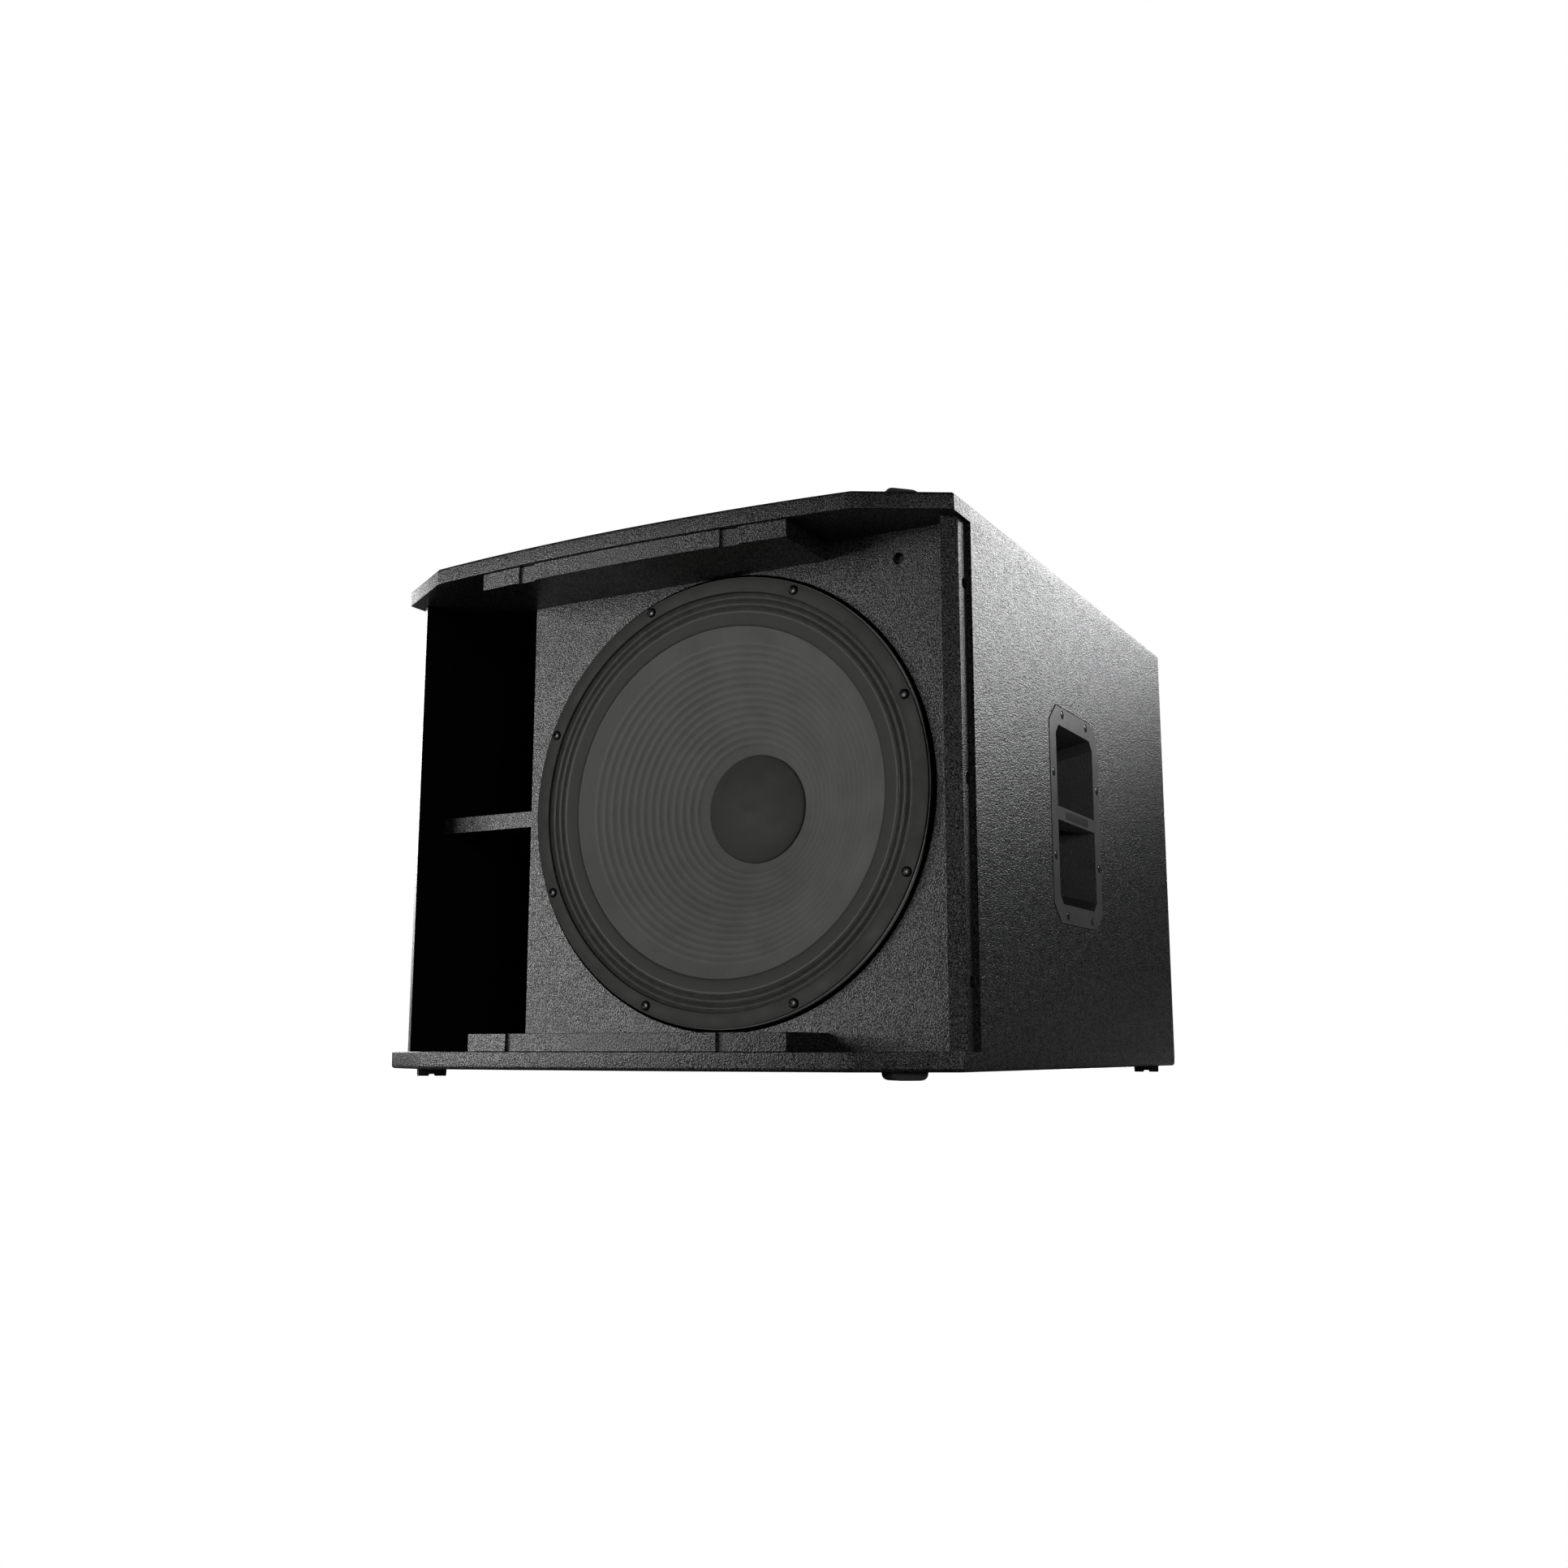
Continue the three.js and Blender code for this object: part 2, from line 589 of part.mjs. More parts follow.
function buildCoil() {
  const inner = COIL_RADIUS - 0.8;
  const winding = COIL_RADIUS + 1.3;
  add('voice_coil_former', turned([
    [inner, CONE_DEPTH - 2], [COIL_RADIUS, CONE_DEPTH - 2], [COIL_RADIUS, MOTOR_DEPTH - 4],
    [winding, MOTOR_DEPTH - 4], [winding, MOTOR_DEPTH + 21], [inner, MOTOR_DEPTH + 21],
  ], 28), 'copper');
}

// A sheet of even thickness that follows a wavy section between two radii.
function wavySheet(start, end, waves, height, depth, thickness, steps) {
  const front = [];
  for (let i = 0; i <= steps; i += 1) {
    const t = i / steps;
    const wave = Math.abs(Math.sin(Math.PI * waves * t));
    front.push([start + (end - start) * t, depth - height * wave]);
  }
  const back = front.map(([radius, y]) => [radius, y + thickness]).reverse();
  return [front, back];
}

function buildSurround() {
  const lipDepth = -1 - GAP - LIP_THICKNESS;
  const outer = FLANGE_INNER_RADIUS - GAP;
  const [front, back] = wavySheet(ROLL_INNER_RADIUS, outer, 3, 5, lipDepth, LIP_THICKNESS, 6);
  const lip = [[SURROUND_INNER_RADIUS, lipDepth + LIP_THICKNESS], [SURROUND_INNER_RADIUS, lipDepth]];
  add('woofer_surround', turned([...lip, ...front, ...back]), 'surround');
}

function buildSpider() {
  const [front, back] = wavySheet(COIL_RADIUS + GAP, 117, 2, 3, SPIDER_DEPTH, 1, 4);
  add('woofer_spider', turned([...front, ...back], 28), 'copper');
}

// ---------------------------------------------------------------- handles

// The hand bar across the mouth: its front is flat and its back swells towards the middle.
function handleBar(face) {
  const half = HANDLE_MOUTH.width / 2 + 1;
  const section = new THREE.Shape();
  section.moveTo(face, -half);
  section.lineTo(face, half);
  section.lineTo(face - HANDLE_BAR.endDepth, half);
  section.quadraticCurveTo(face - 2 * HANDLE_BAR.middleDepth + HANDLE_BAR.endDepth, 0,
    face - HANDLE_BAR.endDepth, -half);
  section.closePath();
  return prism(section, -HANDLE_BAR.height / 2, HANDLE_BAR.height / 2, 10);
}

// The right-hand handle about its own centre: X is out of the panel, 0 behind the flange.
function handleGeometry() {
  const face = HANDLE_FLANGE_THICKNESS;
  const flange = loftAlongX(octagon(HANDLE_FLANGE), 0, octagon(HANDLE_FLANGE), face);
  const cup = loftAlongX(octagon(HANDLE_FLOOR, HANDLE_WALL), -HANDLE_DEPTH - HANDLE_WALL,
    octagon(HANDLE_MOUTH, HANDLE_WALL), 1);
  const hollow = loftAlongX(octagon(HANDLE_FLOOR), -HANDLE_DEPTH, octagon(HANDLE_MOUTH), face);
  const mouth = loftAlongX(octagon(HANDLE_MOUTH), face - 0.01, octagon(HANDLE_MOUTH), face + 5);
  const badge = box([face - BADGE.depth, face + 1], around(0, BADGE.width), around(0, BADGE.height));
  const shell = solidOf(join([flange, cup])).subtract(solidOf(join([hollow, mouth])));
  const whole = shell.add(solidOf(handleBar(face))).subtract(solidOf(badge));
  const recesses = HANDLE_SCREWS.map(([y, z]) => solidOf(headRecess(y, z)));
  return geometryOf(recesses.reduce((solid, recess) => solid.subtract(recess), whole));
}

function headRecess(y, z) {
  const [radius, depth] = [5, 1.2];
  const recess = new THREE.CylinderGeometry(radius, radius, 2 * depth, 10);
  return recess.rotateZ(Math.PI / 2).translate(HANDLE_FLANGE_THICKNESS, y, z);
}

function buildHandles() {
  const right = handleGeometry();
  const left = geometryOf(solidOf(right).mirror([1, 0, 0]));
  const seat = HALF + HANDLE_PROUD - HANDLE_FLANGE_THICKNESS;
  add('right_handle', right, 'plastic').position.set(seat, HANDLE_Y, MID_HEIGHT);
  add('left_handle', left, 'plastic').position.set(-seat, HANDLE_Y, MID_HEIGHT);
}

// ---------------------------------------------------------------- feet and stacking pads

// A rubber skid, its sole at z = 0 and its long side along X: both ends curl up.
function skidGeometry() {
  const [half, flat, height] = [SKID.length / 2, SKID.flat / 2, FOOT_HEIGHT];
  const side = new THREE.Shape();
  side.moveTo(-flat, 0);
  side.lineTo(flat, 0);
  side.quadraticCurveTo(half, 0, half, height);
  side.lineTo(-half, height);
  side.quadraticCurveTo(-half, 0, -flat, 0);
  const body = prism(side, -SKID.width / 2, SKID.width / 2, 6).rotateX(Math.PI / 2);
  const groove = box([-half - 1, half + 1], around(0, SKID.grooveWidth), [-1, SKID.grooveDepth]);
  return cut(body, [groove]);
}

function buildSkids() {
  const corners = [
    ['front_right', 1, SKID_FRONT], ['front_left', -1, SKID_FRONT],
    ['rear_right', 1, SKID_REAR], ['rear_left', -1, SKID_REAR],
  ];
  for (const [corner, side, place] of corners) {
    const foot = add(`foot_${corner}`, skidGeometry(), 'rubber');
    foot.rotation.z = side * place.turn;
    foot.position.set(side * place.x, place.y, 0);
    const pad = add(`stacking_pad_${corner}`, skidGeometry().rotateX(Math.PI), 'rubber');
    pad.rotation.z = side * place.turn;
    pad.position.set(side * place.x, place.y, BOX_TOP + FOOT_HEIGHT);
  }
}

// ---------------------------------------------------------------- pole socket

function buildPoleSocket() {
  const { flangeRadius, flangeThickness, tubeRadius, boreRadius, depth } = POLE;
  const profile = [[0, -depth - 3], [tubeRadius, -depth - 3], [tubeRadius, 0], [flangeRadius, 0],
    [flangeRadius, flangeThickness], [boreRadius, flangeThickness], [boreRadius, -depth], [0, -depth]];
  const points = profile.map(([radius, z]) => new THREE.Vector2(radius, z));
  const socket = new THREE.LatheGeometry(points, 28).rotateX(Math.PI / 2);
  add('pole_socket', socket.translate(0, 0, BOX_TOP), 'steel');
}

// ---------------------------------------------------------------- amplifier module

function buildAmpPanel() {
  const span = [BACK_PANEL_BACK, AMP_FACE];
  const through = [BACK_PANEL_BACK - 1, AMP_FACE + 1];
  const plate = box(around(0, AMP.width), span, around(MID_HEIGHT, AMP.height));
  const sockets = [...INPUT_X, ...OUTPUT_X].map(
    (x) => rodAlongY(SOCKET.barrel + GAP, ...through, x, SOCKET_ROW_Z, 28));
  const latches = INPUT_X.map((x) => box(around(x, LATCH.width + 3), through,
    around(SOCKET_ROW_Z + LATCH.rise, LATCH.height + 3)));
  const shafts = [LEVEL_KNOB_Z, CROSSOVER_KNOB_Z].map(
    (z) => rodAlongY(KNOB.shaft + GAP, ...through, KNOB_X, z, 16));
  const button = box(around(BUTTON.x, BUTTON.size + 2 * GAP), through, around(BUTTON.z, BUTTON.size + 2 * GAP));
  const inlet = box(around(INLET.x, INLET.bodyWidth + 2 * GAP), through,
    around(INLET.z, INLET.bodyHeight + 2 * GAP));
  const power = box(around(SWITCH.x, SWITCH.width - 3 + 2 * GAP), through,
    around(SWITCH.z, SWITCH.height - 3 + 2 * GAP));
  add('amp_panel', cut(plate, [...sockets, ...latches, ...shafts, button, inlet, power]), 'aluminium');
}

// Comb section of the heatsink, its fins standing away from the panel.
function buildHeatsink() {
  const pitch = (HEATSINK.width - HEATSINK.finThickness) / (HEATSINK.fins - 1);
  const root = AMP_FACE + HEATSINK.base;
  const tip = root + HEATSINK.fin;
  const comb = new THREE.Shape();
  comb.moveTo(-HEATSINK.width / 2, AMP_FACE);
  comb.lineTo(HEATSINK.width / 2, AMP_FACE);
  for (let i = HEATSINK.fins - 1; i >= 0; i -= 1) {
    const x = -HEATSINK.width / 2 + i * pitch;
    if (i < HEATSINK.fins - 1) comb.lineTo(x + HEATSINK.finThickness, root);
    comb.lineTo(x + HEATSINK.finThickness, tip);
    comb.lineTo(x, tip);
    if (i > 0) comb.lineTo(x, root);
  }
  comb.closePath();
  add('amp_heatsink', prism(comb, MID_HEIGHT + HEATSINK.low, MID_HEIGHT + HEATSINK.high), 'aluminium');
}

// A sheet-metal tray behind the panel, holding the electronics.
function buildTray() {
  const back = BACK_PANEL_BACK - GAP;
  const outside = box(around(0, TRAY.width), [back - TRAY.depth, back], around(MID_HEIGHT, TRAY.height));
  const inside = box(around(0, TRAY.width - 2 * TRAY.sheet), [back - TRAY.depth + TRAY.sheet, back + 1],
    around(MID_HEIGHT, TRAY.height - 2 * TRAY.sheet));
  add('amp_tray', cut(outside, [inside]), 'steel');
  const floor = back - TRAY.depth + TRAY.sheet;
  buildBoard(floor);
  buildTransformer(floor);
}

function buildBoard(floor) {
  const top = floor + 10;
  const pieces = [box([-95, 95], [floor + 8, top], [MID_HEIGHT - 45, MID_HEIGHT + 140])];
  for (const [x, z] of [[-60, 100], [-60, 60], [-20, 100], [-20, 60]]) {
    pieces.push(rodAlongY(13, top - 1, top + 30, x, MID_HEIGHT + z, 16));
  }
  pieces.push(box([20, 80], [top - 1, top + 34], [MID_HEIGHT + 30, MID_HEIGHT + 120]));
  for (const [x, z] of [[-85, 130], [85, 130], [-85, -35], [85, -35]]) {
    pieces.push(rodAlongY(3, floor + GAP, floor + 9, x, MID_HEIGHT + z, 10));
  }
  add('amp_board', join(pieces), 'board');
}

function buildTransformer(floor) {
  const section = { inner: 16, outer: 42, low: floor + GAP, high: floor + 38 };
  const points = [[section.inner, section.low], [section.outer, section.low],
    [section.outer, section.high], [section.inner, section.high], [section.inner, section.low]];
  const ring = new THREE.LatheGeometry(points.map(([r, y]) => new THREE.Vector2(r, y)), 32);
  add('power_transformer', ring.translate(52, 0, MID_HEIGHT - 98), 'copper');
}

// The solid of a round-mouthed connector on a small flange, with its barrel behind the panel.
function socketBody(x) {
  const flangeShape = rectangle(SOCKET.width, SOCKET.height, 3);
  const flange = slabAlongY(flangeShape, AMP_FACE, AMP_FACE + SOCKET.flange).translate(x, 0, SOCKET_ROW_Z);
  const barrel = rodAlongY(SOCKET.barrel, AMP_FACE - SOCKET.barrelDepth, AMP_FACE + 1, x, SOCKET_ROW_Z, 28);
  const mouth = rodAlongY(SOCKET.mouth, AMP_FACE - SOCKET.mouthDepth, AMP_FACE + 5, x, SOCKET_ROW_Z);
  return solidOf(flange).add(solidOf(barrel)).subtract(solidOf(mouth));
}

function buildInputs() {
  INPUT_X.forEach((x, i) => {
    const z = SOCKET_ROW_Z + LATCH.rise;
    const slot = box(around(x, LATCH.width + 2 * GAP), [AMP_FACE - 12, AMP_FACE + 5],
      around(z, LATCH.height + 2 * GAP));
    add(`input_socket_${i + 1}`, geometryOf(socketBody(x).subtract(solidOf(slot))), 'plastic');
    const span = [AMP_FACE - LATCH.depth + LATCH.proud, AMP_FACE + SOCKET.flange + LATCH.proud];
    const tab = box(around(x, LATCH.width), span, around(z, LATCH.height));
    add(`input_latch_${i + 1}`, tab, 'plastic');
  });
}

function buildOutputs() {
  OUTPUT_X.forEach((x, i) => {
    const [y0, y1] = [AMP_FACE - SOCKET.mouthDepth - 1, AMP_FACE - 3];
    const whole = [90, 210, 330].reduce((solid, degrees) => {
      const angle = THREE.MathUtils.degToRad(degrees);
      const pin = rodAlongY(1.2, y0, y1, x + 5 * Math.cos(angle), SOCKET_ROW_Z + 5 * Math.sin(angle), 8);
      return solid.add(solidOf(pin));
    }, socketBody(x));
    add(`output_socket_${i + 1}`, geometryOf(whole), 'plastic');
  });
}

// A knob on its shaft; the groove on its skirt points up at rest.
function knobGeometry() {
  const r = KNOB.radius;
  const top = KNOB.height;
  const points = [[0, 0], [r, 0], [r, 2], [r - 1.5, 3], [r - 2, top - 1], [r - 3, top], [0, top]];
  const cap = new THREE.LatheGeometry(points.map(([x, y]) => new THREE.Vector2(x, y)), 24);
  const shaft = rodAlongY(KNOB.shaft, -12, 1, 0, 0, 12);
  const groove = box([-0.6, 0.6], [top - 0.8, top + 1], [1, r]);
  return geometryOf(solidOf(cap).add(solidOf(shaft)).subtract(solidOf(groove)));
}

function buildControls() {
  for (const [name, z] of [['level_knob', LEVEL_KNOB_Z], ['crossover_knob', CROSSOVER_KNOB_Z]]) {
    add(name, knobGeometry(), 'plastic').position.set(KNOB_X, AMP_FACE + KNOB.standOff, z);
  }
  const span = [AMP_FACE + BUTTON.proud - BUTTON.depth, AMP_FACE + BUTTON.proud];
  const button = box(around(BUTTON.x, BUTTON.size), span, around(BUTTON.z, BUTTON.size));
  add('polarity_button', button, 'plastic');
}

function buildInlet() {
  const { x, z } = INLET;
  const flange = box(around(x, INLET.width), [AMP_FACE, AMP_FACE + INLET.flange], around(z, INLET.height));
  const body = box(around(x, INLET.bodyWidth), [AMP_FACE - INLET.bodyDepth, AMP_FACE + 1],
    around(z, INLET.bodyHeight));
  const floor = AMP_FACE - INLET.mouthDepth;
  const mouth = box(around(x, INLET.mouthWidth), [floor, AMP_FACE + 5], around(z, INLET.mouthHeight));
  const blades = [[-7, -2], [7, -2], [0, 2]].map(
    ([dx, dz]) => box(around(x + dx, 2), [floor - 1, AMP_FACE - 3], around(z + dz, 4)));
  const shell = solidOf(flange).add(solidOf(body)).subtract(solidOf(mouth));
  add('mains_inlet', geometryOf(blades.reduce((solid, blade) => solid.add(solidOf(blade)), shell)), 'plastic');
}

// Rocker section about its pivot: height along X, outwards along +Y.
function rockerSection() {
  const [half, lift] = [9.6, 4.5];
  const shape = new THREE.Shape();
  shape.moveTo(-half, lift);
  shape.lineTo(-half, -1);
  shape.quadraticCurveTo(0, -9, half, -1);
  shape.lineTo(half, lift);
  shape.quadraticCurveTo(0, 2, -half, lift);
  return shape;
}

function buildSwitch() {
  const { x, z } = SWITCH;
  const flange = box(around(x, SWITCH.width), [AMP_FACE, AMP_FACE + SWITCH.flange], around(z, SWITCH.height));
  const body = box(around(x, SWITCH.width - 3), [AMP_FACE - SWITCH.depth, AMP_FACE + 1],
    around(z, SWITCH.height - 3));
  const well = box(around(x, SWITCH.mouthWidth), [AMP_FACE - SWITCH.depth + 2, AMP_FACE + 5],
    around(z, SWITCH.mouthHeight));
  add('power_switch_frame', geometryOf(solidOf(flange).add(solidOf(body)).subtract(solidOf(well))), 'plastic');
  const rocker = prism(rockerSection(), -SWITCH.rockerWidth / 2, SWITCH.rockerWidth / 2, 6);
  rocker.rotateY(-Math.PI / 2);
  const mesh = add('power_rocker', rocker, 'plastic');
  mesh.rotation.x = SWITCH.tilt;
  mesh.position.set(x, AMP_FACE, z);
}

// ---------------------------------------------------------------- build everything

const BUILDERS = [
  buildTopAndBottom, buildSides, buildBackPanel, buildBaffle, buildIndicator, buildPort,
  buildWindowBrace, buildFoam, buildBattens,
  buildBasket, buildGasket, buildScrews, buildMotor,
  buildCone, buildDustCap, buildCoil, buildSurround, buildSpider,
  buildHandles, buildSkids, buildPoleSocket,
  buildAmpPanel, buildHeatsink, buildTray, buildInputs, buildOutputs, buildControls, buildInlet, buildSwitch,
];
BUILDERS.forEach((build) => build());

export default cabinet;
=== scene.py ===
"""Looks of the powered bass cabinet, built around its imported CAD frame.

Dimensions are in millimetres and become metres when a mesh is made. The front faces -Y, +X is the
right-hand side seen from the front, and the floor is at z = 0.
"""
import json
import math

import bmesh
import bpy
from mathutils import Matrix, Vector, noise

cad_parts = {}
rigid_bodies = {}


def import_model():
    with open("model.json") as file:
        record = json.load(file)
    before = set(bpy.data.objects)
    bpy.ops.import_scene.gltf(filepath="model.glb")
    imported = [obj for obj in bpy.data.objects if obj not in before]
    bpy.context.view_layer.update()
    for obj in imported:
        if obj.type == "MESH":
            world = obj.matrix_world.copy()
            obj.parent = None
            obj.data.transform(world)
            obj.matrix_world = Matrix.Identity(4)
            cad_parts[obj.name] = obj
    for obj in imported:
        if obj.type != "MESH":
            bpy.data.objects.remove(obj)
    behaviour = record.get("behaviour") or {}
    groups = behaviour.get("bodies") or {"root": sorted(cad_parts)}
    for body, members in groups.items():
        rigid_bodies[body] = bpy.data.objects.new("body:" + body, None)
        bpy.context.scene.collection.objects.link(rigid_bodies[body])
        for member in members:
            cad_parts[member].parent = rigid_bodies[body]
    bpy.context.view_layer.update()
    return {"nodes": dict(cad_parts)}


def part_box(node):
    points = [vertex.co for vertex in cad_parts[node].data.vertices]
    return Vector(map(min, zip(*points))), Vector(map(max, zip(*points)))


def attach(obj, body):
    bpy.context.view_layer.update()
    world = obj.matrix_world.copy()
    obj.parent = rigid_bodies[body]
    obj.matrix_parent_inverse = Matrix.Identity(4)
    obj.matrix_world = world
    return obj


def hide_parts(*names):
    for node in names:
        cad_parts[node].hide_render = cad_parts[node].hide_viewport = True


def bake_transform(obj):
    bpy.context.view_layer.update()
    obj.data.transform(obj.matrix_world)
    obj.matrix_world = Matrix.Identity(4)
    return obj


MM = 0.001
CABINET = "cabinet"
CONE_BODY = "cone_assembly"
WELD_DISTANCE = 1e-6  # in metres
SHARP_DEGREES = 30  # an edge that turns more is sharp
FLAT_DEGREES = 0.5  # neighbouring faces that turn less are merged

# ------------------------ dimensions, in millimetres

TOUCH = 0.1  # two points no further apart than this count as level
CUT_BEYOND = 5  # how far the pole's cutter runs past the panel
CHAMFER_DEPTH = 65  # from the front of the bow back to where the sides begin
CHAMFER_HALF_WIDTH = 252
BOW_RISE = 15
BOW_STEPS = 72
PANEL_EDGE_RADIUS = 4
REAR_CORNER_RADIUS = 6
CORNER_STEPS = 6
END_PANEL_ROUNDING = 1.2
BOARD_ROUNDING = 0.6
POLE_HOLE = {"radius": 19.3, "sides": 48}
BATTEN_SETBACK = 3.5
BATTEN_NOTCHES = (-123.5, 123.5)
BATTEN_NOTCH_WIDTH = 20
BATTEN_NOTCH_DEPTH = 3
BATTEN_ROUNDING = 0.7
# The wadding's crown and ripple are shares of its full height, its rim is a share of the crown
WADDING = {"columns": 48, "rows": 36, "rim": 0.35, "crown": 0.86, "ripple": 0.14, "ripples": (14, 11),
           "seed": 3.7, "rim_width": 1 / 12, "pull": 3, "underside": 0.3}

# Driver: radii from its axis, depths back from the front of the baffle
FLANGE = {"inner": 215, "outer": 231, "front": -5.5, "back": -0.3, "rounding": 1.2, "cut": 0.35}
BASKET = {"throat": 217.4, "throat_depth": 12, "seat": 124, "seat_depth": 105, "motor_hole": 57, "wall": 5,
          "inside": ((112, 100), (118, 100)), "lip_depth": 8}
# The basket's windows: outline across and back, cut from the first radius of reach to the second
WINDOWS = {"count": 12, "outline": ((-38, 22), (38, 22), (19, 90), (-19, 90)), "reach": (100, 251)}
GASKET = {"inner": 214.5, "outer": 229.7, "front": -8, "back": -5.6, "rounding": 0.8, "cut": 0.25}
# Near-black ring round the flange: painted shadow on the baffle
SHADOW_RING = {"inner": 231.2, "outer": 234.5, "front": -1.6, "back": -0.02, "rounding": 1, "cut": 0.3}
CONE = {"edge": 180.5, "lip": (193, -1), "neck": (50.9, 73.5), "depth": 70, "thickness": 1.5}
CONE_RIBS = {"first": 66, "pitch": 7.2, "count": 14, "height": 0.4, "steps": 10}
CAP = {"radius": 57.3, "rise": 14, "behind": 2, "bead": (0.25, 0.5), "thickness": 1.2, "steps": 24}
# The surround's lip: distance out from the cone's edge, and depth, along its front and its back
LIP_FRONT = ((0, 0.05), (0.6, -0.6), (3, -1.6))
LIP_BACK = ((3, -0.7), (0, 0.2))
# Corrugated rings; the ridges are shares of the way from the inner to the outer radius
ROLLS = {"inner": 194, "outer": 214.7, "ridges": (0.24, 0.6, 0.94), "height": 3,
         "thickness": 1.2, "depth": -2.5}
SPIDER = {"inner": 50.8, "outer": 117, "ridges": (0.1, 0.3, 0.5, 0.7, 0.9), "height": 3,
          "thickness": 0.6, "depth": 98}
ROLL_STEPS = 60
MOTOR_DEPTH = 116
FLEXING_SECTORS = 24
ROUND_SEGMENTS = 192

# Pan-head screws: radius and height of the head, radius and length of the shank, and the turn of the
# first one's recess and from each to the next, in radians
DRIVER_SCREW = {"head": (5.2, 3), "shank": (2.5, 20), "turn": (0.4, 1.3)}
HANDLE_SCREW = {"head": (4.4, 1.6), "shank": (1.8, 12), "turn": (0.5, 0.9)}
PANEL_SCREW = {"head": (4, 2.2), "shank": (1.8, 16), "turn": (0, 0.8)}
SCREW_COUNT = 8
SCREW_SIDES = 40
DOME_STEPS = 8
# A cross recess at its mouth and its floor: depth, half length and half width of the arms
CROSS_LEVELS = ((-1, 2.6, 0.55), (1.7, 1.2, 0.4))

# Places of a handle's screws along the panel and up it, from the handle's middle
HANDLE_SCREWS = ((-39, 110.5), (42, 110.5), (-39, -109.5), (43, -109.5),
                 (-73, 42.5), (76, 42.5), (-73, -47.5), (76, -47.5))
HANDLE_SCREW_SUNK = 0.1
# faces behind this depth take the cup plastic, painted darker as shade inside the cup
CUP_START = 3.6  # the cup's own walls begin this far behind the handle's face
BADGE = {"width": 76, "height": 7.5, "back": 0.75, "front": 0.25, "rounding": 0.3}

PANEL_SCREW_INSET = 7
PANEL_SCREW_ROWS = 4
PANEL_SCREW_PROUD = 2.1
KNOB_SCALE = {"ticks": 11, "sweep": 300, "start": 10.5, "end": 13, "half_width": 0.35, "ink": (0.02, 0.12)}

SKIDS = tuple(f"{kind}_{corner}" for kind in ("foot", "stacking_pad")
              for corner in ("front_right", "front_left", "rear_right", "rear_left"))
# CAD nodes that keep their own mesh: material, radius of the rounded edges and steps round them
CARRIED = (
    (("back_panel", "baffle", "port_divider", "port_brace"), "paint", BOARD_ROUNDING, 2),
    (("window_brace",), "ply", 0.5, 2),
    (("indicator_lens",), "lens", 0.8, 3),
    (("magnet_top_plate", "magnet_back_plate"), "steel", 0.8, 3),
    (("magnet_ring",), "ferrite", 1.5, 3),
    (("voice_coil_former",), "copper", 0, 0),
    (("right_handle", "left_handle"), "handle", 0.9, 3),
    (("amp_panel",), "anodised", 0.5, 2),
    (("amp_heatsink",), "anodised", 0.4, 2),
    (("amp_tray",), "steel", 0.5, 2),
    (("amp_board",), "board", 0.4, 2),
    (("power_transformer",), "copper", 4, 4),
    (("input_socket_1", "input_socket_2", "output_socket_1", "output_socket_2", "input_latch_1",
      "input_latch_2", "level_knob", "crossover_knob", "polarity_button", "mains_inlet",
      "power_switch_frame", "power_rocker"), "plastic", 0.35, 2),
    (SKIDS, "rubber", 0.7, 3),
    (("pole_socket",), "black_steel", 0.8, 3),
)

# ------------------------ camera and light, in metres and watts

# The camera's sensor and lens are in millimetres
CAMERA = {"place": (0.8663, -1.6197, 0.0275), "degrees": (99.754, 0, 28.805), "sensor": 36, "lens": 35.49}
FLOOR_HALF_WIDTH = 40
AMBIENT = 0.01
DRIVER_FACE = ("woofer_cone", "woofer_cap", "woofer_surround", "woofer_gasket", "woofer_screw",
               "woofer_casting")
# Softboxes: place, target, size, power, and the pieces that they leave out or pick
LIGHTS = {
    "graze_left": ((-1.95, -1.1, 0.65), (0, -0.35, 0.28), (0.5, 0.5), 8, ("EXCLUDE", DRIVER_FACE)),
    "key_left": ((-1.3, -2.25, 0.7), (0, -0.35, 0.28), (0.9, 0.9), 23, ("EXCLUDE", DRIVER_FACE)),
    "low_left": ((-2.4, -1.9, 0.25), (0, -0.35, 0.28), (0.7, 0.4), 42, ("EXCLUDE", DRIVER_FACE)),
    "right_front": ((2.6, -2.9, 0.6), (0.3, -0.3, 0.28), (0.8, 0.8), 25, ("EXCLUDE", DRIVER_FACE)),
    "sheen_back_right": ((1.3, 2.7, 1.85), (0.336, 0, 0.4), (1.6, 1.2), 50, None),
    "driver_front": ((-0.7, -3.6, 0.12), (0.066, -0.29, 0.28), (1.2, 1.2), 122, ("INCLUDE", DRIVER_FACE)),
    "rim_right": ((2.2, -1.3, 0.3), (0.066, -0.29, 0.28), (0.5, 0.5), 70, ("INCLUDE", ("woofer_casting",))),
    "behind": ((-0.4, 3.8, 1.0), (0, 0.38, 0.28), (0.9, 0.9), 55, None),
    "far_left": ((-3.2, 0.9, 1.1), (-0.33, 0, 0.28), (1.6, 1.4), 55, None),
}


# ------------------------ frame and camera

def corners(node):
    """Lowest and highest corner of a CAD node, in millimetres."""
    low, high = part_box(node)
    return low / MM, high / MM


def centre(node):
    low, high = corners(node)
    return (low + high) / 2


def make_camera():
    camera = bpy.data.objects.new("camera", bpy.data.cameras.new("camera"))
    bpy.context.scene.collection.objects.link(camera)
    camera.location = CAMERA["place"]
    camera.rotation_euler = [math.radians(angle) for angle in CAMERA["degrees"]]
    camera.data.sensor_width = CAMERA["sensor"]
    camera.data.lens = CAMERA["lens"]
    bpy.context.scene.camera = camera


# ------------------------ procedural materials

